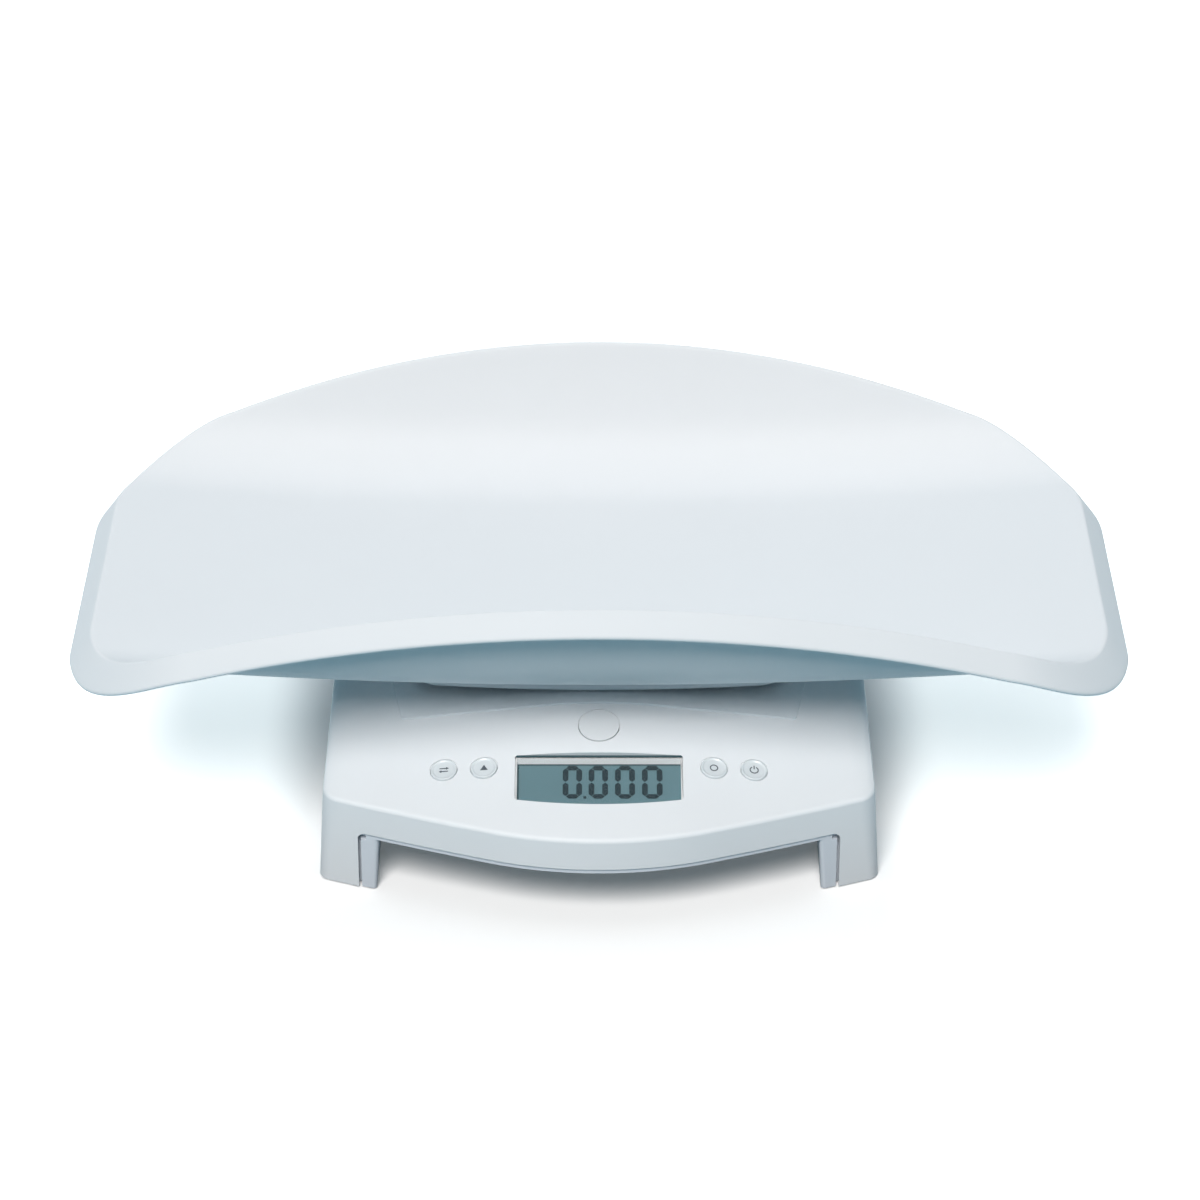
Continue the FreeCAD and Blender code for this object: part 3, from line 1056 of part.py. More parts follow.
def tray_carrier():
    wire = carrier_wire()
    block = prism(wire, CARRIER_BOTTOM, TRAY_FLOOR + TRAY_BEND_RADIUS / 2)
    inner_wire = wire.makeOffset2D(-CARRIER_WALL)
    inner = prism(inner_wire, CARRIER_BOTTOM - PAST, CARRIER_SKIN_LOW)
    above = prism(inner_wire, CARRIER_SKIN_TOP, TRAY_FLOOR + TRAY_BEND_RADIUS)
    body = block.cut(trough_space(TRAY_WALL, BEYOND / 10)).cut(inner).cut(above)
    inside_skin = CARRIER_SKIN_LOW + CARRIER_TOP_WALL / 4
    pads = [post(x, y, CARRIER_BOTTOM, inside_skin, PAD_RADIUS + PAD_SEAT_WALL) for x, y in pad_places()]
    lug_rear = -LUG_FRONT + LUG_THICKNESS
    lug = box(-LUG_HALF_WIDTH, LUG_HALF_WIDTH, -LUG_FRONT, lug_rear, LUG_BOTTOM, inside_skin)
    body = body.multiFuse(pads + [lug])
    cuts = [post(x, y, CARRIER_BOTTOM - PAST, CARRIER_BOTTOM + PAD_SINK, PAD_RADIUS) for x, y in pad_places()]
    cuts += [post(x, y, CARRIER_SKIN_LOW - PAST, CARRIER_SKIN_TOP + PAST, SCREW_RADIUS + SCREW_CLEAR)
             for x, y in tray_boss_places()]
    cuts.append(box(-LUG_WINDOW_HALF, LUG_WINDOW_HALF, -LUG_FRONT - PAST, lug_rear + PAST,
                    LUG_WINDOW_LOW, LUG_WINDOW_HIGH))
    return body.cut(Part.makeCompound(cuts))


def tray_screws():
    screws = [screw(x, y, CARRIER_SKIN_LOW, TRAY_SCREW_LENGTH) for x, y in tray_boss_places()]
    return Part.makeCompound(screws)


def tray_pads():
    rest = PLATFORM_TOP + PLATE_RISE
    pads = [post(x, y, rest, CARRIER_BOTTOM + PAD_SINK, PAD_RADIUS) for x, y in pad_places()]
    return Part.makeCompound(pads)


# ================================================================ feet and load cells
def foot(x, y):
    tread = post(x, y, 0, FOOT_HEIGHT, FOOT_RADIUS)
    rims = [edge for edge in tread.Edges if abs(edge.BoundBox.ZMax) < 1e-6]
    tread = tread.makeFillet(FOOT_EDGE_ROUND, rims)
    stem = post(x, y, FOOT_HEIGHT - PAST, SHELF_BOTTOM - CELL_PLATE, FOOT_STEM_RADIUS)
    return tread.fuse(stem)


def cell_screw_places():
    return [(x, y + side * CELL_SCREW_REACH) for _, x, y in foot_places() for side in (-1, 1)]


def load_cell(x, y):
    """A steel plate with a slotted middle tongue that bends under the foot's stem."""
    half_x, half_y = CELL_PLATE_X / 2, CELL_PLATE_Y / 2
    low, high = SHELF_BOTTOM - CELL_PLATE, SHELF_BOTTOM
    plate = box(x - half_x, x + half_x, y - half_y, y + half_y, low, high)
    t, s, reach = TONGUE_HALF, TONGUE_SLOT, TONGUE_LENGTH / 2
    under, over = low - PAST, high + PAST
    slots = [box(x - t - s, x - t, y - reach, y + reach, under, over),
             box(x + t, x + t + s, y - reach, y + reach, under, over),
             box(x - t - s, x + t + s, y - reach - s, y - reach, under, over)]
    hole_places = [y - CELL_SCREW_REACH, y + CELL_SCREW_REACH]
    holes = [post(x, hole_y, under, over, SCREW_RADIUS + SCREW_CLEAR) for hole_y in hole_places]
    return plate.cut(Part.makeCompound(slots + holes))


def load_cell_screws():
    low = SHELF_BOTTOM - CELL_PLATE
    return Part.makeCompound([screw(x, y, low, CELL_SCREW_LENGTH) for x, y in cell_screw_places()])


# ================================================================ wires
def wire_x(x):
    """Where a load cell's lead passes up through its shelf: beside the plate's slots."""
    return math.copysign(abs(x) - TONGUE_HALF - TONGUE_SLOT - 2 * WIRE_RADIUS, x)


def tube(points, radius, bend):
    """A round tube along straight runs joined by tangent arcs."""
    edges = []
    start = points[0]
    for i in range(1, len(points) - 1):
        corner = points[i]
        back = (points[i - 1] - corner).normalize()
        ahead = (points[i + 1] - corner).normalize()
        half = back.getAngle(ahead) / 2
        reach = bend / math.tan(half)
        middle = (back + ahead).normalize()
        arc_mid = corner + middle * (bend / math.sin(half) - bend)
        arc_start, arc_end = corner + back * reach, corner + ahead * reach
        edges.append(Part.LineSegment(start, arc_start).toShape())
        edges.append(Part.Arc(arc_start, arc_mid, arc_end).toShape())
        start = arc_end
    edges.append(Part.LineSegment(start, points[-1]).toShape())
    first = (points[1] - points[0]).normalize()
    ring = Part.Wire(Part.makeCircle(radius, points[0], first))
    return Part.Wire(edges).makePipeShell([ring], True, False)


def socket_point(x, below):
    """A place under one of the board's sockets, below it by the given distance."""
    spot = on_panel(Part.Vertex(V(x, SOCKET_ALONG, BOARD_LEVEL - BOARD_THICK - SOCKET_DEPTH - below)))
    return spot.Vertexes[0].Point


def load_cell_wires():
    """Each load cell's lead: up through its shelf and along the lower housing to the board."""
    wires = []
    for _, x, y in foot_places():
        side = math.copysign(1, x)
        across = side * (SOCKET_X + (WIRE_SPREAD_FRONT if y < 0 else WIRE_SPREAD_REAR))
        end, under = socket_point(across, 0), socket_point(across, WIRE_DROP)
        level = under.z if y < 0 else SKIRT_BOTTOM + WIRE_RISE
        points = [V(wire_x(x), y, SHELF_BOTTOM), V(wire_x(x), y, level)]
        if y > 0:
            lane = side * (BOSS_SIDE_X - 3.5 * BOSS_RADIUS)
            points += [V(lane, y - 6 * WIRE_BEND, level), V(lane, under.y + 5 * WIRE_BEND, level)]
        wires.append(tube(points + [under, end], WIRE_RADIUS, WIRE_BEND))
    return Part.makeCompound(wires)


# ================================================================ output
def housing_screws():
    screws = [screw(x, y, HOUSING_HEAD_Z, HOUSING_SCREW_LENGTH) for x, y in BOSS_PLACES]
    return Part.makeCompound(screws)


def build_parts():
    form = rounded_form()
    parts = {
        "tray_shell": tray_shell(),
        "tray_carrier": tray_carrier(),
        "tray_screws": tray_screws(),
        "tray_pads": tray_pads(),
        "platform_plate": platform_plate(form),
        "upper_housing": upper_housing(form),
        "lower_housing": lower_housing(),
        "housing_screws": housing_screws(),
        "display_window": display_window(),
        "display_frame": display_frame(),
        "lcd_glass": lcd_glass(),
        "zebra_strips": zebra_strips(),
        "main_board": main_board(),
        "board_components": board_components(),
        "board_screws": board_screws(),
        "keypad_mat": keypad_mat(form),
        "release_button": release_button(form),
        "latch_spring": latch_spring(),
        "latch_screw": latch_screw(),
        "battery_cells": battery_cells(),
        "battery_contacts": battery_contacts(),
        "battery_door": battery_door(),
        "load_cell_screws": load_cell_screws(),
        "load_cell_wires": load_cell_wires(),
    }
    for name, x, along, out in key_places(form):
        parts[name] = key_cap(form, x, along, out)
    for place, x, y in foot_places():
        parts["foot_" + place] = foot(x, y)
        parts["load_cell_" + place] = load_cell(x, y)
    return parts


def write_parts():
    os.makedirs("parts", exist_ok=True)
    to_middle = V(0, (FRONT_REACH - TRAY_HALF_DEPTH - FLANGE_SIDE_WIDTH) / 2, 0)
    for name, shape in build_parts().items():
        shape.translate(to_middle)
        print(name, "valid" if shape.isValid() else "NOT VALID", len(shape.Solids), round(shape.Volume))
        shape.exportStep("parts/" + name + ".step")


write_parts()
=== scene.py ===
from collections import namedtuple
import json
import math

import bmesh
import bpy
import numpy as np
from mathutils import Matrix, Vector
from mathutils.bvhtree import BVHTree


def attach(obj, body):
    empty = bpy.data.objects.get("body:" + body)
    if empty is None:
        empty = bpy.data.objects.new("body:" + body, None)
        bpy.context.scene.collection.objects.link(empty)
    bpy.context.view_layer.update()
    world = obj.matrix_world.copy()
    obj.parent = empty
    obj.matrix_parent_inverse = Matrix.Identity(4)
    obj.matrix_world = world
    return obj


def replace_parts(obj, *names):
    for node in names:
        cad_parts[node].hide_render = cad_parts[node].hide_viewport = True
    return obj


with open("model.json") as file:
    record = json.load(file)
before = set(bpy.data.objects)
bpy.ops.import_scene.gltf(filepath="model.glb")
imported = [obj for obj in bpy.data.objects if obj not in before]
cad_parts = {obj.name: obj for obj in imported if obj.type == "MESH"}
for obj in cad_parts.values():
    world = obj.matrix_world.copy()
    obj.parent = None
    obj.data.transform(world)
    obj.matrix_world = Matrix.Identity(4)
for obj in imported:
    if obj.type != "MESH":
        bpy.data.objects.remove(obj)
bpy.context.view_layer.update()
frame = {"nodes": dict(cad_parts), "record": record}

MM = 0.001                        # sizes are in millimetres, and Blender's are in metres
WHITE = (1.0, 1.0, 1.0, 1.0)

# ---------------------------------------------------------------- sizes shared with the solids
SHIFT = 1.65                      # the tray's middle stands this far behind the origin
TRAY_HALF_LENGTH = 266.5          # middle to the fold of the rim, at the ends
TRAY_HALF_DEPTH = 154.0           # middle to the fold of the rim, front and rear
TRAY_FLOOR = 110.2                # height of the trough's floor at its middle
TRAY_WALL = 3.0
FLOOR_HALF_DEPTH = 91.4           # flat part of the trough's section
BEND_RADIUS = 49.2                # between the trough's floor and its walls
WALL_SLOPE = math.radians(66.5)
ARCH_RADIUS = 3020.0              # the trough's floor rises towards the ends on this radius
RIM_SIDE_RADIUS = 1176.0          # plan radius of the front and rear rims
RIM_CORNER_RADIUS = 69.2          # plan radius of the rim's corners
FLANGE_END, FLANGE_SIDE = 12.7, 12.0              # how far the folded rim stands out
FLANGE_END_DROP, FLANGE_SIDE_DROP = 17.5, 11.5    # and how far it hangs down
FLANGE_STEP = 0.15                # small step at the fold
BOSS_X, BOSS_Y = 70.0, 45.0       # screw bosses under the trough
BOSS_RADIUS, BOSS_DEPTH = 5.0, 8.0
FRONT_REACH = 169.3               # tray's middle to the front of the skirt
SKIRT_TOP = 51.5                  # the panel's lower edge
PLATFORM_TOP, PLATFORM_FRONT = 84.5, 72.5         # the panel's upper edge
PANEL_ANGLE = math.atan((PLATFORM_TOP - SKIRT_TOP) / (FRONT_REACH - PLATFORM_FRONT))
LCD_TOP = -7.1                    # the glass's upper face, out from the panel
KEY_RADIUS = 6.9
KEYS = {"key_swap": (-81.0, 53.0), "key_hold": (-60.0, 52.5),     # across, and up the slope
        "key_zero": (60.0, 52.5), "key_power": (81.0, 53.0)}


# ---------------------------------------------------------------- mesh helpers
def mesh_object(name, verts, faces, material, smooth=True):
    """A mesh object from points in millimetres."""
    mesh = bpy.data.meshes.new(name)
    mesh.from_pydata([Vector(v) * MM for v in verts], [], [tuple(map(int, f)) for f in faces])
    mesh.validate()
    if smooth:
        mesh.shade_smooth()
    mesh.materials.append(material)
    obj = bpy.data.objects.new(name, mesh)
    bpy.context.scene.collection.objects.link(obj)
    return obj


def turn_outward(obj):
    """Makes every face of a closed mesh look outward."""
    bm = bmesh.new()
    bm.from_mesh(obj.data)
    bmesh.ops.recalc_face_normals(bm, faces=bm.faces)
    bm.to_mesh(obj.data)
    bm.free()
    return obj


def on_panel(x, along, out):
    """A point given across, up the slope and out of the panel."""
    c, s = math.cos(PANEL_ANGLE), math.sin(PANEL_ANGLE)
    return (x, -FRONT_REACH + SHIFT + along * c - out * s, SKIRT_TOP + along * s + out * c)


def lathe(profile, steps):
    """Rings of (radius, height) pairs round the Z axis, as lists of (x, y, z)."""
    turns = [2 * math.pi * i / steps for i in range(steps)]
    return [[(r * math.cos(a), r * math.sin(a), z) for a in turns] for r, z in profile]


def ring_faces(rings, steps, start=0):
    """Faces between rings of points, closed at both ends."""
    faces = []
    for k in range(rings - 1):
        for i in range(steps):
            a, b = start + k * steps + i, start + k * steps + (i + 1) % steps
            faces.append((a, b, b + steps, a + steps))
    last = start + (rings - 1) * steps
    faces.append(tuple(start + i for i in reversed(range(steps))))
    faces.append(tuple(last + i for i in range(steps)))
    return faces


def prisms(name, material, outlines, place, low, high):
    """Straight prisms over flat outlines; place puts across, along and out in the part's frame."""
    verts, faces = [], []
    for outline in outlines:
        faces.extend(ring_faces(2, len(outline), len(verts)))
        verts.extend(place(x, along, out) for out in (low, high) for x, along in outline)
    return turn_outward(mesh_object(name, verts, faces, material, smooth=False))


def bar(x0, x1, y0, y1):
    """A rectangle's outline."""
    return [(x0, y0), (x1, y0), (x1, y1), (x0, y1)]


# ---------------------------------------------------------------- shader helpers
def add(tree, kind, inputs=None, **settings):
    """A new node with its settings, and with inputs that are values or are linked from sockets."""
    node = tree.nodes.new(kind)
    for name, value in settings.items():
        setattr(node, name, value)
    for label, value in (inputs or {}).items():
        if isinstance(value, bpy.types.NodeSocket):
            tree.links.new(value, node.inputs[label])
        else:
            node.inputs[label].default_value = value
    return node


def calc(tree, operation, *values):
    """What a Math node makes of its values."""
    return add(tree, "ShaderNodeMath", dict(enumerate(values)), operation=operation).outputs[0]


def mix_color(tree, factor, first, second):
    """A colour between two; a Mix node keeps its colours in inputs 6 and 7 and output 2."""
    return add(tree, "ShaderNodeMix", {"Factor": factor, 6: first, 7: second}, data_type="RGBA").outputs[2]


def map_range(tree, value, spans, **settings):
    """Carries a value from one span to another; spans are From Min, From Max, To Min and To Max."""
    inputs = dict(zip(("From Min", "From Max", "To Min", "To Max"), spans), Value=value)
    return add(tree, "ShaderNodeMapRange", inputs, **settings).outputs["Result"]


def seen_ray(tree):
    """One where a ray comes from the camera or through gloss or glass."""
    path = add(tree, "ShaderNodeLightPath").outputs
    seen = calc(tree, "MAXIMUM", path["Is Camera Ray"], path["Is Glossy Ray"])
    return calc(tree, "MAXIMUM", seen, path["Is Transmission Ray"])


def principled(tree):
    """The shader that a new material starts with."""
    return next(node for node in tree.nodes if node.type == "BSDF_PRINCIPLED")


# ---------------------------------------------------------------- materials
CLOUD_SCALE, CLOUD_DETAIL = 14.0, 4.0             # broad mottling of the colour
SMEAR_SCALE, SMEAR_DETAIL = 45.0, 3.0             # patches of the roughness
GRAIN_DETAIL, GRAIN_DEPTH = 2.0, 0.0001
SHADE = 0.93                      # a plastic's mottling goes down to this share of its colour
COAT_ROUGHNESS = 0.15
GRAINLESS = dict(grain=0.0, specular=0.2)


def surface_group(name, stretch):
    """Mottled colour, uneven roughness and a fine grain; stretch draws the grain out along axes."""
    tree = bpy.data.node_groups.new(name, "ShaderNodeTree")
    values = (("Base Color", "Color", (0.8, 0.8, 0.8, 1)), ("Shade", "Color", (0.7, 0.7, 0.7, 1)),
              ("Mottle", "Float", 0.3), ("Roughness", "Float", 0.4), ("Wear", "Float", 0.05),
              ("Grain", "Float", 0.1), ("Grain Scale", "Float", 1500.0))
    for label, kind, value in values:
        socket = tree.interface.new_socket(label, in_out="INPUT", socket_type="NodeSocket" + kind)
        socket.default_value = value
    for label, kind in (("Base Color", "Color"), ("Roughness", "Float"), ("Normal", "Vector")):
        tree.interface.new_socket(label, in_out="OUTPUT", socket_type="NodeSocket" + kind)
    given = add(tree, "NodeGroupInput").outputs
    coords = add(tree, "ShaderNodeTexCoord").outputs["Object"]
    drawn = add(tree, "ShaderNodeMapping", {"Vector": coords, "Scale": stretch}).outputs["Vector"]

    def noise(vector, scale, detail):
        inputs = {"Vector": vector, "Scale": scale, "Detail": detail}
        return add(tree, "ShaderNodeTexNoise", inputs).outputs["Fac"]

    mottle = calc(tree, "MULTIPLY", noise(coords, CLOUD_SCALE, CLOUD_DETAIL), given["Mottle"])
    smear = noise(drawn, SMEAR_SCALE, SMEAR_DETAIL)
    bump = add(tree, "ShaderNodeBump", {"Strength": given["Grain"], "Distance": GRAIN_DEPTH,
                                        "Height": noise(drawn, given["Grain Scale"], GRAIN_DETAIL)})
    add(tree, "NodeGroupOutput", {
        "Base Color": mix_color(tree, mottle, given["Base Color"], given["Shade"]),
        "Roughness": calc(tree, "MULTIPLY_ADD", smear, given["Wear"], given["Roughness"]),
        "Normal": bump.outputs["Normal"]})
    return tree


MOULDED = surface_group("moulded surface", (1, 1, 1))
BRUSHED = surface_group("brushed surface", (1, 12, 12))


def material(name, group, color, shade, roughness, mottle=0.3, wear=0.06, grain=0.1,
             metallic=0.0, coat=0.0, alpha=1.0, specular=0.5):
    """A material that takes its colour, roughness and grain from a surface group."""
    mat = bpy.data.materials.new(name)
    mat.use_nodes = True
    mat.diffuse_color = (*color, alpha)
    tree = mat.node_tree
    surface = add(tree, "ShaderNodeGroup", node_tree=group)
    values = {"Base Color": (*color, 1), "Shade": (*shade, 1), "Mottle": mottle,
              "Roughness": roughness - wear / 2, "Wear": wear, "Grain": grain}
    for label, value in values.items():
        surface.inputs[label].default_value = value
    shader = principled(tree)
    for label in ("Base Color", "Roughness", "Normal"):
        tree.links.new(surface.outputs[label], shader.inputs[label])
    values = {"Metallic": metallic, "Coat Weight": coat, "Coat Roughness": COAT_ROUGHNESS,
              "Specular IOR Level": specular, "Alpha": alpha}
    for label, value in values.items():
        shader.inputs[label].default_value = value
    return mat


def plastic(name, color, roughness, **more):
    """A moulded material, mottled with a darker shade of its colour."""
    return material(name, MOULDED, color, tuple(c * SHADE for c in color), roughness, **more)


def metal(name, color, shade, roughness, **more):
    """A brushed metal."""
    return material(name, BRUSHED, color, shade, roughness, metallic=1.0, **more)


MATERIALS = {
    "tray_plastic": plastic("tray plastic", (0.68, 0.71, 0.735), 0.55, grain=0.05, specular=0.2),
    "carrier_plastic": plastic("carrier plastic", (0.55, 0.60, 0.64), 0.5),
    "housing_plastic": plastic("housing plastic", (0.80, 0.83, 0.855), 0.5, grain=0.05, specular=0.25),
    "plate_plastic": plastic("platform plate", (0.76, 0.80, 0.83), 0.5),
    # painted shade: the lower housing's white is made darker and bluer, for the shade on its downward-facing
    # band
    "lower_plastic": plastic("lower housing plastic with painted shade", (0.66, 0.71, 0.77), 0.5),
    "frame_plastic": plastic("display frame plastic", (0.92, 0.93, 0.94), 0.5),
    "key_plastic": plastic("key plastic", (0.70, 0.745, 0.77), 0.3, coat=0.4),
    "button_plastic": plastic("release button plastic", (0.76, 0.79, 0.81), 0.5, specular=0.25),
    "window_clear": plastic("clear window", (0.30, 0.36, 0.37), 0.06, alpha=0.06, wear=0.02, **GRAINLESS),
    "foot_rubber": plastic("foot rubber", (0.16, 0.17, 0.18), 0.75, grain=0.5),
    "pad_rubber": plastic("pad rubber", (0.20, 0.21, 0.22), 0.75, grain=0.5),
    "zebra_rubber": plastic("connector rubber", (0.10, 0.10, 0.11), 0.7),
    "mat_silicone": plastic("keypad silicone", (0.30, 0.32, 0.34), 0.6),
    "component_plastic": plastic("component plastic", (0.02, 0.02, 0.022), 0.4),
    "wire_jacket": plastic("wire jacket", (0.45, 0.03, 0.02), 0.4),
    "battery_can": plastic("battery wrap", (0.05, 0.06, 0.08), 0.3, coat=0.5),
    "board_laminate": material("board laminate", MOULDED, (0.01, 0.10, 0.035), (0.02, 0.16, 0.06), 0.35,
                               mottle=0.8, coat=0.4),
    "screw_steel": metal("screw steel", (0.55, 0.55, 0.56), (0.42, 0.42, 0.43), 0.3, grain=0.3),
    "spring_steel": metal("spring steel", (0.50, 0.50, 0.52), (0.38, 0.38, 0.40), 0.25, grain=0.3),
    "cell_steel": metal("load cell steel", (0.48, 0.49, 0.50), (0.38, 0.38, 0.40), 0.4, grain=0.4),
    "contact_metal": metal("contact metal", (0.72, 0.71, 0.68), (0.60, 0.60, 0.58), 0.2),
    "lcd_glass": material("lcd glass", MOULDED, (0.125, 0.235, 0.27), (0.145, 0.26, 0.295), 0.35,
                          mottle=0.6, **GRAINLESS),
}
# the digits' colour, which also stands for the painted shadow that the segments cast on the glass
DIGIT_AND_SHADOW = plastic("lcd digit and painted shadow", (0.006, 0.022, 0.032), 0.35, **GRAINLESS)
# painted shade: a dark colour for strips where the display's gaps and edges lie in shade
SHADE_STRIP = plastic("display painted shade", (0.045, 0.09, 0.105), 0.4, **GRAINLESS)
MARK = plastic("key mark", (0.10, 0.12, 0.14), 0.5)

SLOTS = {entry["node"]: entry["material_slot"] for entry in frame["record"]["subparts"]}
for node, obj in frame["nodes"].items():
    obj.data.materials.clear()
    obj.data.materials.append(MATERIALS[SLOTS[node]])


# ---------------------------------------------------------------- tray
SIDE_CENTRE = TRAY_HALF_DEPTH - RIM_SIDE_RADIUS   # the rim's side and corner arcs, in plan
CORNER_X = TRAY_HALF_LENGTH - RIM_CORNER_RADIUS
CORNER_Y = SIDE_CENTRE + math.sqrt((RIM_SIDE_RADIUS - RIM_CORNER_RADIUS) ** 2 - CORNER_X ** 2)
CORNER_TURN = math.atan2(CORNER_X, CORNER_Y - SIDE_CENTRE)    # where one arc meets the other
SIDE_STEPS, CORNER_STEPS, ACROSS_STEPS = 56, 26, 120
FOLD_IN = 1.6                     # the upper face bends into the flange this far in from the fold
UNDER_IN = 3.6                    # and the lower face ends this far in
UNDER_START = 1.2                 # the flange's inner face starts this far down
FOLD_SHARES = (0.2, 0.4, 0.6, 0.8, 1.0)           # rings over the fold,
OUTER_SHARES, INNER_SHARE = (0.4, 0.8), 0.5       # and down the flange's outer face and up its inner one
EDGE_ROUND, EDGE_STEPS = TRAY_WALL / 2, 6
BOSS_STEPS, BOSS_SINK = 32, 1.0   # the bosses end inside the trough's wall

RimSpot = namedtuple("RimSpot", "start fold along face length")


def section_rise(y, offset):
    """Height of the trough's surface over its floor; offset 0 is the upper side, TRAY_WALL the lower."""
    y = abs(y)
    radius = BEND_RADIUS + offset
    bend_end = FLOOR_HALF_DEPTH + radius * math.sin(WALL_SLOPE)
    if y <= FLOOR_HALF_DEPTH:
        return -offset
    if y <= bend_end:
        return BEND_RADIUS - math.sqrt(radius ** 2 - (y - FLOOR_HALF_DEPTH) ** 2)
    return BEND_RADIUS - radius * math.cos(WALL_SLOPE) + (y - bend_end) * math.tan(WALL_SLOPE)


def trough(x, y, offset=0.0):
    """Height of the trough's surface, which rises towards the ends."""
    reach = ARCH_RADIUS - section_rise(y, offset)
    return TRAY_FLOOR + ARCH_RADIUS - math.sqrt(reach ** 2 - x ** 2)


def rim_turns():
    """The rim's stations from the left end to the right, as turns from the tray's middle."""
    turns = [CORNER_TURN * i / SIDE_STEPS for i in range(SIDE_STEPS)]
    turns += [CORNER_TURN + (math.pi / 2 - CORNER_TURN) * i / CORNER_STEPS for i in range(CORNER_STEPS + 1)]
    return [-a for a in reversed(turns[1:])] + turns


def rim_point(turn, inset):
    """The rear rim's plan point at a turn, moved in from the fold."""
    a = abs(turn)
    if a <= CORNER_TURN:
        radius = RIM_SIDE_RADIUS - inset
        x, y = radius * math.sin(a), SIDE_CENTRE + radius * math.cos(a)
    else:
        radius = RIM_CORNER_RADIUS - inset
        x, y = CORNER_X + radius * math.sin(a), CORNER_Y + radius * math.cos(a)
    return math.copysign(x, turn) if turn else 0.0, y


def rim_walk(turns):
    """Once round the rim: each point's place in a sheet's grid and its outward direction in plan."""
    last = len(turns) - 1
    stations = list(enumerate(turns))
    walk = [(i, 0, math.sin(a), -math.cos(a)) for i, a in stations]
    walk += [(last, j, 1.0, 0.0) for j in range(1, ACROSS_STEPS)]
    walk += [(i, ACROSS_STEPS, math.sin(a), math.cos(a)) for i, a in reversed(stations)]
    walk += [(0, j, -1.0, 0.0) for j in reversed(range(1, ACROSS_STEPS))]
    return [(i * (ACROSS_STEPS + 1) + j, nx, ny) for i, j, nx, ny in walk]


def trough_sheet(turns, inset, offset):
    """A grid of points over one side of the trough, station by station."""
    verts = []
    for turn in turns:
        x, half = rim_point(turn, inset)
        for j in range(ACROSS_STEPS + 1):
            y = half * (2 * j / ACROSS_STEPS - 1)
            verts.append((x, y + SHIFT, trough(x, y, offset)))
    return verts


def sheet_faces(stations, start, flip):
    """Faces of one sheet's grid; flip turns them to look down."""
    faces = []
    for i in range(stations - 1):
        for j in range(ACROSS_STEPS):
            a = start + i * (ACROSS_STEPS + 1) + j
            quad = (a, a + ACROSS_STEPS + 1, a + ACROSS_STEPS + 2, a + 1)
            faces.append(quad[::-1] if flip else quad)
    return faces


def rim_spot(start, nx, ny):
    """Where the flange leaves the trough at a point of the rim, and its directions and length there."""
    fold = Vector((start[0] + nx * FOLD_IN, start[1] + ny * FOLD_IN, 0))
    fold.z = trough(fold.x, fold.y - SHIFT) + FLANGE_STEP
    out = math.hypot(FLANGE_END * nx, FLANGE_SIDE * ny)
    drop = math.hypot(FLANGE_END_DROP * nx, FLANGE_SIDE_DROP * ny)
    length = math.hypot(out, drop)
    along = Vector((nx * out, ny * out, -drop)) / length
    face = Vector((nx * drop, ny * drop, out)) / length
    return RimSpot(Vector(start), fold, along, face, length)


def flange_rings(spots):
    """Rings of points over the fold, down the flange, round its edge and up its inner face."""
    def fold_ring(t):
        return [(1 - t) ** 2 * s.start + 2 * t * (1 - t) * s.fold + t * t * (s.fold + s.along * FOLD_IN)
                for s in spots]

    def outer_ring(share):
        return [s.fold + s.along * (FOLD_IN + (s.length - FOLD_IN) * share) for s in spots]

    def edge_ring(angle):
        inward, onward = EDGE_ROUND * (math.cos(angle) - 1), EDGE_ROUND * math.sin(angle)
        return [s.fold + s.along * (s.length - EDGE_ROUND) + s.face * inward + s.along * onward
                for s in spots]

    rings = [fold_ring(t) for t in FOLD_SHARES]
    rings += [outer_ring(share) for share in OUTER_SHARES]
    rings += [edge_ring(math.pi * step / EDGE_STEPS) for step in range(EDGE_STEPS + 1)]
    rings.append([s.fold + s.along * (s.length * INNER_SHARE) - s.face * TRAY_WALL for s in spots])
    rings.append([s.fold + s.along * UNDER_START - s.face * TRAY_WALL for s in spots])
    return rings


def build_tray():
    """Two sheets joined round their edges by the folded flange, and the four bosses."""
    turns = rim_turns()
    walk = rim_walk(turns)
    verts = trough_sheet(turns, FOLD_IN, 0.0)
    under = len(verts)
    spots = [rim_spot(verts[k], nx, ny) for k, nx, ny in walk]
    verts += trough_sheet(turns, UNDER_IN, TRAY_WALL)
    faces = sheet_faces(len(turns), 0, False) + sheet_faces(len(turns), under, True)

    loops = [[k for k, _, _ in walk]]
    for ring in flange_rings(spots):
        loops.append(list(range(len(verts), len(verts) + len(ring))))
        verts.extend(tuple(p) for p in ring)
    loops.append([under + k for k, _, _ in walk])
    for near, far in zip(loops, loops[1:]):
        for k in range(len(walk)):
            m = (k + 1) % len(walk)
            faces.append((near[k], far[k], far[m], near[m]))

    boss = lathe([(BOSS_RADIUS, TRAY_FLOOR - TRAY_WALL - BOSS_DEPTH), (BOSS_RADIUS, TRAY_FLOOR - BOSS_SINK)],
                 BOSS_STEPS)
    for bx, by in [(sx * BOSS_X, sy * BOSS_Y) for sx in (-1, 1) for sy in (-1, 1)]:
        faces.extend(ring_faces(len(boss), BOSS_STEPS, len(verts)))
        verts.extend((x + bx, y + by + SHIFT, z) for ring in boss for x, y, z in ring)
    return turn_outward(mesh_object("tray", verts, faces, MATERIALS["tray_plastic"]))


tray = build_tray()
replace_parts(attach(tray, "tray"), "tray_shell")


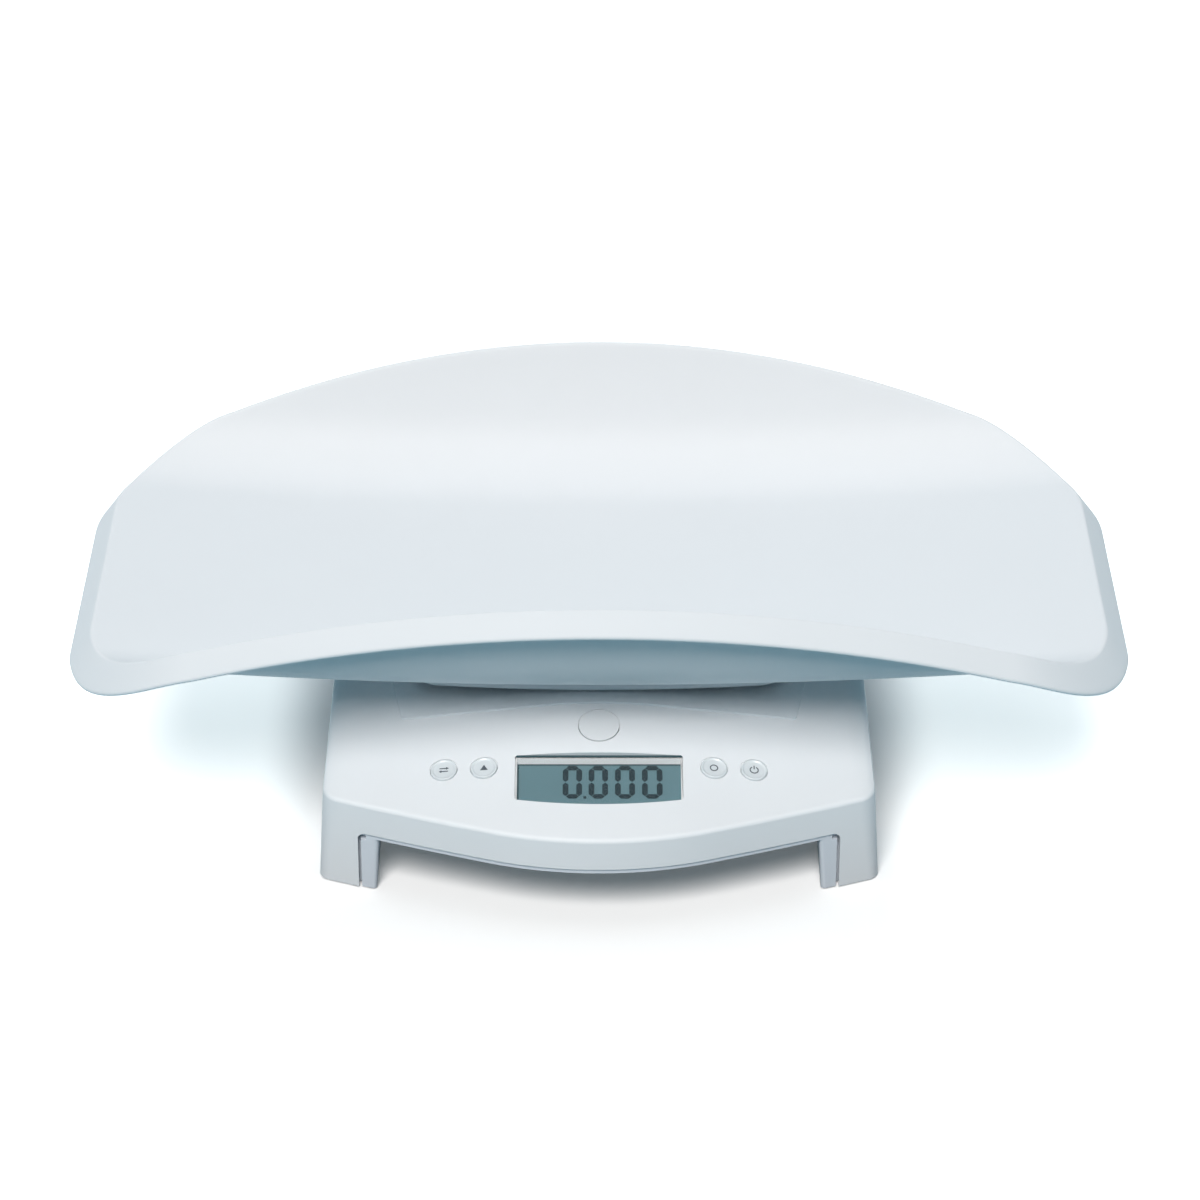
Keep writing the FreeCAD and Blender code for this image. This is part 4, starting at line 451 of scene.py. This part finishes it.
# ---------------------------------------------------------------- keys
PROBE_START, PROBE_RANGE = 12.0, 40.0             # a probe starts this far out, and reaches this far
HOLE_RING, HOLE_STEPS = 9.0, 24   # a ring of probes round a key's hole
KEY_STEPS, KEY_EDGE_STEPS = 72, 4
KEY_BOTTOM, KEY_COLLAR_TOP = -5.2, -4.2           # out from the surface round the key
KEY_COLLAR_RADIUS, KEY_BORE = 8.1, 3.0
KEY_SQUARE_BELOW = -3.0           # under this the key stays square to the panel
KEY_SIDE_TOP, KEY_EDGE = 0.25, 0.5
KEY_DISH = [(6.05, 0.74), (5.75, 0.45), (5.4, 0.22), (5.0, 0.14), (3.5, 0.12), (1.6, 0.11), (0.2, 0.11)]
MARK_LOW, MARK_HIGH = 0.10, 0.28


def surface_tree(node):
    """A search tree over a node's faces, to find where a ray meets them."""
    mesh = frame["nodes"][node].data
    faces = [tuple(p.vertices) for p in mesh.polygons]
    return BVHTree.FromPolygons([v.co.copy() for v in mesh.vertices], faces)


HOUSING_TREE = surface_tree("upper_housing")


def panel_height(x, along):
    """Height of the housing's surface on the panel's frame."""
    toward = Vector(on_panel(0, 0, -1)) - Vector(on_panel(0, 0, 0))
    start = Vector(on_panel(x, along, PROBE_START)) * MM
    distance = HOUSING_TREE.ray_cast(start, toward, PROBE_RANGE * MM)[3]
    return PROBE_START - distance / MM


def local_plane(x, along):
    """Height and the two slopes of the panel's surface around a hole, on the panel's frame."""
    turns = [2 * math.pi * step / HOLE_STEPS for step in range(HOLE_STEPS)]
    ring = [(HOLE_RING * math.cos(a), HOLE_RING * math.sin(a)) for a in turns]
    heights = [panel_height(x + px, along + py) for px, py in ring]
    rows = [(1, px, py) for px, py in ring]
    return np.linalg.lstsq(np.array(rows), np.array(heights), rcond=None)[0]


def key_profile():
    """Radius and height from the key's bore, over its collar and rim, into its dished top."""
    profile = [(KEY_BORE, KEY_BOTTOM), (KEY_COLLAR_RADIUS, KEY_BOTTOM), (KEY_COLLAR_RADIUS, KEY_COLLAR_TOP),
               (KEY_RADIUS, KEY_COLLAR_TOP), (KEY_RADIUS, KEY_SIDE_TOP)]
    inner = KEY_RADIUS - KEY_EDGE
    for step in range(1, KEY_EDGE_STEPS + 1):
        a = math.pi / 2 * step / KEY_EDGE_STEPS
        profile.append((inner + KEY_EDGE * math.cos(a), KEY_SIDE_TOP + KEY_EDGE * math.sin(a)))
    return profile + KEY_DISH


def arc_band(radius, width, start, end, steps=28):
    """A band round the middle, from one angle to another in degrees, as flat pieces."""
    pieces = []
    for i in range(steps):
        a, b = (math.radians(start + (end - start) * k / steps) for k in (i, i + 1))
        corners = ((radius, a), (radius + width, a), (radius + width, b), (radius, b))
        pieces.append([(r * math.cos(angle), r * math.sin(angle)) for r, angle in corners])
    return pieces


MARKS = {
    "key_swap": [bar(-2.2, 1.2, 0.7, 1.3), [(1.2, 0.1), (2.6, 1.0), (1.2, 1.9)],
                 bar(-1.2, 2.2, -1.3, -0.7), [(-1.2, -0.1), (-2.6, -1.0), (-1.2, -1.9)]],
    "key_hold": [[(-2.0, -1.5), (2.0, -1.5), (0.0, 2.0)]],
    "key_zero": arc_band(1.6, 0.6, 0, 360),
    "key_power": arc_band(1.8, 0.6, 120, 420) + [bar(-0.3, 0.3, 0.6, 2.9)],
}


def build_key(name, x, along):
    """A key's cap, which follows the bowed panel around its hole, and the raised mark on it."""
    level, tilt_x, tilt_y = local_plane(x, along)

    def place(px, py, out):
        return on_panel(x + px, along + py, level + (tilt_x * px + tilt_y * py) + out)

    profile = key_profile()
    verts = []
    for ring in lathe(profile, KEY_STEPS):
        for px, py, out in ring:
            follows = out > KEY_SQUARE_BELOW
            verts.append(place(px, py, out) if follows else on_panel(x + px, along + py, level + out))
    faces = ring_faces(len(profile), KEY_STEPS)
    key = turn_outward(mesh_object(name + "_cap", verts, faces, MATERIALS["key_plastic"]))
    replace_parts(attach(key, name), name)
    mark = prisms(name + "_mark", MARK, MARKS[name], place, MARK_LOW, MARK_HIGH)
    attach(mark, name)


for key_name, (key_x, key_along) in KEYS.items():
    build_key(key_name, key_x, key_along)


# ---------------------------------------------------------------- display
DIGITS = ((-18.9, -8.8), (-5.4, 4.7), (8.35, 18.75), (22.4, 33.1))    # left and right of each
# painted shadow: the digits reach low and their strokes are wide, taking in the segments' shadow on the
# glass
DIGIT_LOW, DIGIT_HIGH = 34.1, 56.2
STROKE, STROKE_GAP = 3.0, 0.2
DIGIT_AND_SHADE_THICKNESS = 0.1                       # thickness of the digits and the painted shade strips
DIGIT_RISE, SHADE_STRIP_RISE = 0.07, 0.02              # of their lower faces above the glass
POINT = (-8.1, -6.6, DIGIT_LOW, DIGIT_LOW + 1.6)  # between the first two digits
GLASS_HALF = 42.6                 # the glass's half width that shows
# painted shade along the glass's upper and left edges, and under the window's upper edge
GLASS_SHADE_STRIPS = [(-GLASS_HALF, GLASS_HALF, 56.3, 57.6), (-GLASS_HALF, -41.7, 30.8, 56.3)]
WINDOW_SHADE_STRIP = (-43.5, 43.5, 58.4, 59.5)
WINDOW_SHADE_LEVEL = -2.37       # its lower face, out from the panel
LIP_SECTION = [(58.5, -4.0), (58.5, -7.0), (57.4, -7.0)]      # up the slope and out
CORNER_FILLET, FILLET_STEPS, FILLET_OVER = 2.2, 8, 0.1
FILLET_LOW, FILLET_HIGH = -2.38, -2.2             # the bowed panel lies this low at the window's corners
WINDOW_HALF, WINDOW_TOP, WINDOW_FOOT = 43.85, 59.75, 29.35
FOOT_BOW = 0.22                   # slope of the window's lower edge at its ends


def digit_outlines(left, right, low, high, lit):
    """Seven plain segments inside a box; lit names which of them show."""
    half, gap = STROKE / 2, STROKE_GAP
    mid = (low + high) / 2

    def across(y):
        inset = gap + half
        return [(left + inset, y), (left + half + inset, y + half), (right - half - inset, y + half),
                (right - inset, y), (right - half - inset, y - half), (left + half + inset, y - half)]

    def upright(x, y0, y1):
        return [(x, y0 + gap), (x + half, y0 + half + gap), (x + half, y1 - half - gap), (x, y1 - gap),
                (x - half, y1 - half - gap), (x - half, y0 + half + gap)]

    parts = {"a": across(high - half), "d": across(low + half), "g": across(mid),
             "b": upright(right - half, mid, high - half), "c": upright(right - half, low + half, mid),
             "f": upright(left + half, mid, high - half), "e": upright(left + half, low + half, mid)}
    return [parts[k] for k in lit]


def add_to_base(obj):
    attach(obj, "base")


def display_digits():
    """Four plain zeros, with a point after the first; drawn bold and low, they also paint the shadow the
    segments cast on the glass.
    """
    outlines = [outline for left, right in DIGITS
                for outline in digit_outlines(left, right, DIGIT_LOW, DIGIT_HIGH, "abcdef")]
    outlines.append(bar(*POINT))
    low = LCD_TOP + DIGIT_RISE
    add_to_base(prisms("lcd_digits_and_shadow", DIGIT_AND_SHADOW, outlines, on_panel, low, low + DIGIT_AND_SHADE_THICKNESS))


def display_shade_strips():
    """Painted shade: thin dark strips along the glass's edges and under the window's upper edge, where the
    gaps lie in shade.
    """
    glass, low = [bar(*sides) for sides in GLASS_SHADE_STRIPS], LCD_TOP + SHADE_STRIP_RISE
    add_to_base(prisms("lcd_painted_shade", SHADE_STRIP, glass, on_panel, low, low + DIGIT_AND_SHADE_THICKNESS))
    window, low = [bar(*WINDOW_SHADE_STRIP)], WINDOW_SHADE_LEVEL
    add_to_base(prisms("window_painted_shade", SHADE_STRIP, window, on_panel, low, low + DIGIT_AND_SHADE_THICKNESS))


def frame_lip():
    """The frame's sloped upper edge, between the window and the glass."""
    verts = [on_panel(x, along, out) for x in (-GLASS_HALF, GLASS_HALF) for along, out in LIP_SECTION]
    faces = ring_faces(2, len(LIP_SECTION))
    lip = turn_outward(mesh_object("frame_lip", verts, faces, MATERIALS["frame_plastic"], smooth=False))
    add_to_base(lip)


def window_corners():
    """Fillets in the four corners of the window's opening."""
    turns = [math.pi / 2 * i / FILLET_STEPS for i in range(FILLET_STEPS + 1)]
    arc = [(CORNER_FILLET * (1 - math.sin(t)), CORNER_FILLET * (1 - math.cos(t))) for t in turns]
    outlines = []
    for side in (-1, 1):
        for along, up, bow in ((WINDOW_TOP, 1, 0.0), (WINDOW_FOOT, -1, FOOT_BOW)):
            outlines.append([(side * (WINDOW_HALF - u), along - up * v - bow * u)
                             for u, v in [(-FILLET_OVER, -FILLET_OVER)] + arc])
    housing = MATERIALS["housing_plastic"]
    fillets = prisms("window_corners", housing, outlines, on_panel, FILLET_LOW, FILLET_HIGH)
    add_to_base(fillets)


display_digits()
display_shade_strips()
frame_lip()
window_corners()


# ---------------------------------------------------------------- studio
SKY_COLOR = (0.76, 0.91, 1.0, 1)
SKY_OVERHEAD = (0.0, 1.0, 0.0, 0.20)              # height of a direction to strength
SKY_REAR = (-0.1, 1.0, 0.0, 0.8)                  # direction towards the rear to strength
FLOOR_NEAR, FLOOR_FAR = (0.06, 0.14, 0.18), (0.23, 0.46, 0.56)
FLOOR_SPREAD = (0.24, 0.36, 0.0, 1.0)             # metres from the middle, to the share of FLOOR_FAR
FLOOR_GLOW = (0.146, 0.190, 0.10, 0.60)           # metres across, to a glow that is weaker under the base
FLOOR_GLOW_COLOR = (0.94, 1.0, 1.0, 1)
FLOOR_HALF = 4000.0
CAMERA_PLACE = (0.00054, -2.09910 + SHIFT * MM, 1.26262)
CAMERA_DOWN = 29.0                # degrees below level
CAMERA_LENS, CAMERA_SENSOR = 133.1, 36.0


def sun(name, azimuth, elevation, strength, spread, color):
    """A soft distant lamp; azimuth 0 shines from the front, elevation from the floor up."""
    light = bpy.data.lights.new(name, "SUN")
    light.energy = strength
    light.angle = math.radians(spread)
    light.color = color
    obj = bpy.data.objects.new(name, light)
    a, e = math.radians(azimuth), math.radians(elevation)
    shines = Vector((-math.sin(a) * math.cos(e), math.cos(a) * math.cos(e), -math.sin(e)))
    obj.rotation_euler = shines.to_track_quat("-Z", "Y").to_euler()
    bpy.context.scene.collection.objects.link(obj)


def studio_world():
    """White to the camera, and a soft light on the scale that is stronger above and behind it."""
    world = bpy.data.worlds.new("studio")
    bpy.context.scene.world = world
    world.use_nodes = True
    tree = world.node_tree
    tree.nodes.clear()
    direction = add(tree, "ShaderNodeTexCoord").outputs["Generated"]
    toward = add(tree, "ShaderNodeSeparateXYZ", {"Vector": direction}).outputs
    overhead = map_range(tree, toward["Z"], SKY_OVERHEAD)
    rear = map_range(tree, toward["Y"], SKY_REAR)
    strength = calc(tree, "ADD", overhead, rear)
    ambient = add(tree, "ShaderNodeBackground", {"Color": SKY_COLOR, "Strength": strength})
    white = add(tree, "ShaderNodeBackground", {"Color": WHITE, "Strength": 1.0})
    blend = add(tree, "ShaderNodeMixShader", {0: seen_ray(tree), 1: ambient.outputs[0], 2: white.outputs[0]})
    add(tree, "ShaderNodeOutputWorld", {0: blend.outputs[0]})


def floor_material():
    """White to the camera; to the scale a blue-grey that is darker close to it."""
    mat = plastic("studio floor", FLOOR_FAR, 0.9, grain=0.0, mottle=0.0, specular=0.0)
    tree = mat.node_tree
    shader = principled(tree)
    far = shader.inputs["Base Color"].links[0].from_socket
    seen = seen_ray(tree)
    place = add(tree, "ShaderNodeTexCoord").outputs["Object"]
    distance = add(tree, "ShaderNodeVectorMath", {0: place}, operation="LENGTH").outputs["Value"]
    bounce = mix_color(tree, map_range(tree, distance, FLOOR_SPREAD), (*FLOOR_NEAR, 1), far)
    tree.links.new(mix_color(tree, seen, bounce, WHITE), shader.inputs["Base Color"])
    across = add(tree, "ShaderNodeSeparateXYZ", {"Vector": place}).outputs["X"]
    glow = map_range(tree, calc(tree, "ABSOLUTE", across), FLOOR_GLOW, interpolation_type="SMOOTHSTEP")
    shader.inputs["Emission Color"].default_value = FLOOR_GLOW_COLOR
    tree.links.new(calc(tree, "MULTIPLY", seen, glow), shader.inputs["Emission Strength"])
    return mat


def add_camera():
    """A long lens in front of the scale, looking down at it."""
    data = bpy.data.cameras.new("camera")
    data.lens = CAMERA_LENS
    data.sensor_width = CAMERA_SENSOR
    data.clip_start, data.clip_end = 0.1, 20.0
    camera = bpy.data.objects.new("camera", data)
    camera.location = CAMERA_PLACE
    camera.rotation_euler = (math.radians(90 - CAMERA_DOWN), 0, 0)
    bpy.context.scene.collection.objects.link(camera)
    bpy.context.scene.camera = camera


sun("key light", azimuth=-10, elevation=48, strength=2.95, spread=26, color=(1.0, 0.965, 0.94))
sun("back light", azimuth=180, elevation=74, strength=0.50, spread=45, color=(0.88, 0.95, 1.0))
studio_world()
corners = [(x, y, 0.0) for x, y in bar(-FLOOR_HALF, FLOOR_HALF, -FLOOR_HALF, FLOOR_HALF)]
floor = mesh_object("studio_floor", corners, [(0, 1, 2, 3)], floor_material(), smooth=False)
add_camera()
bpy.context.scene.view_settings.view_transform = "Standard"
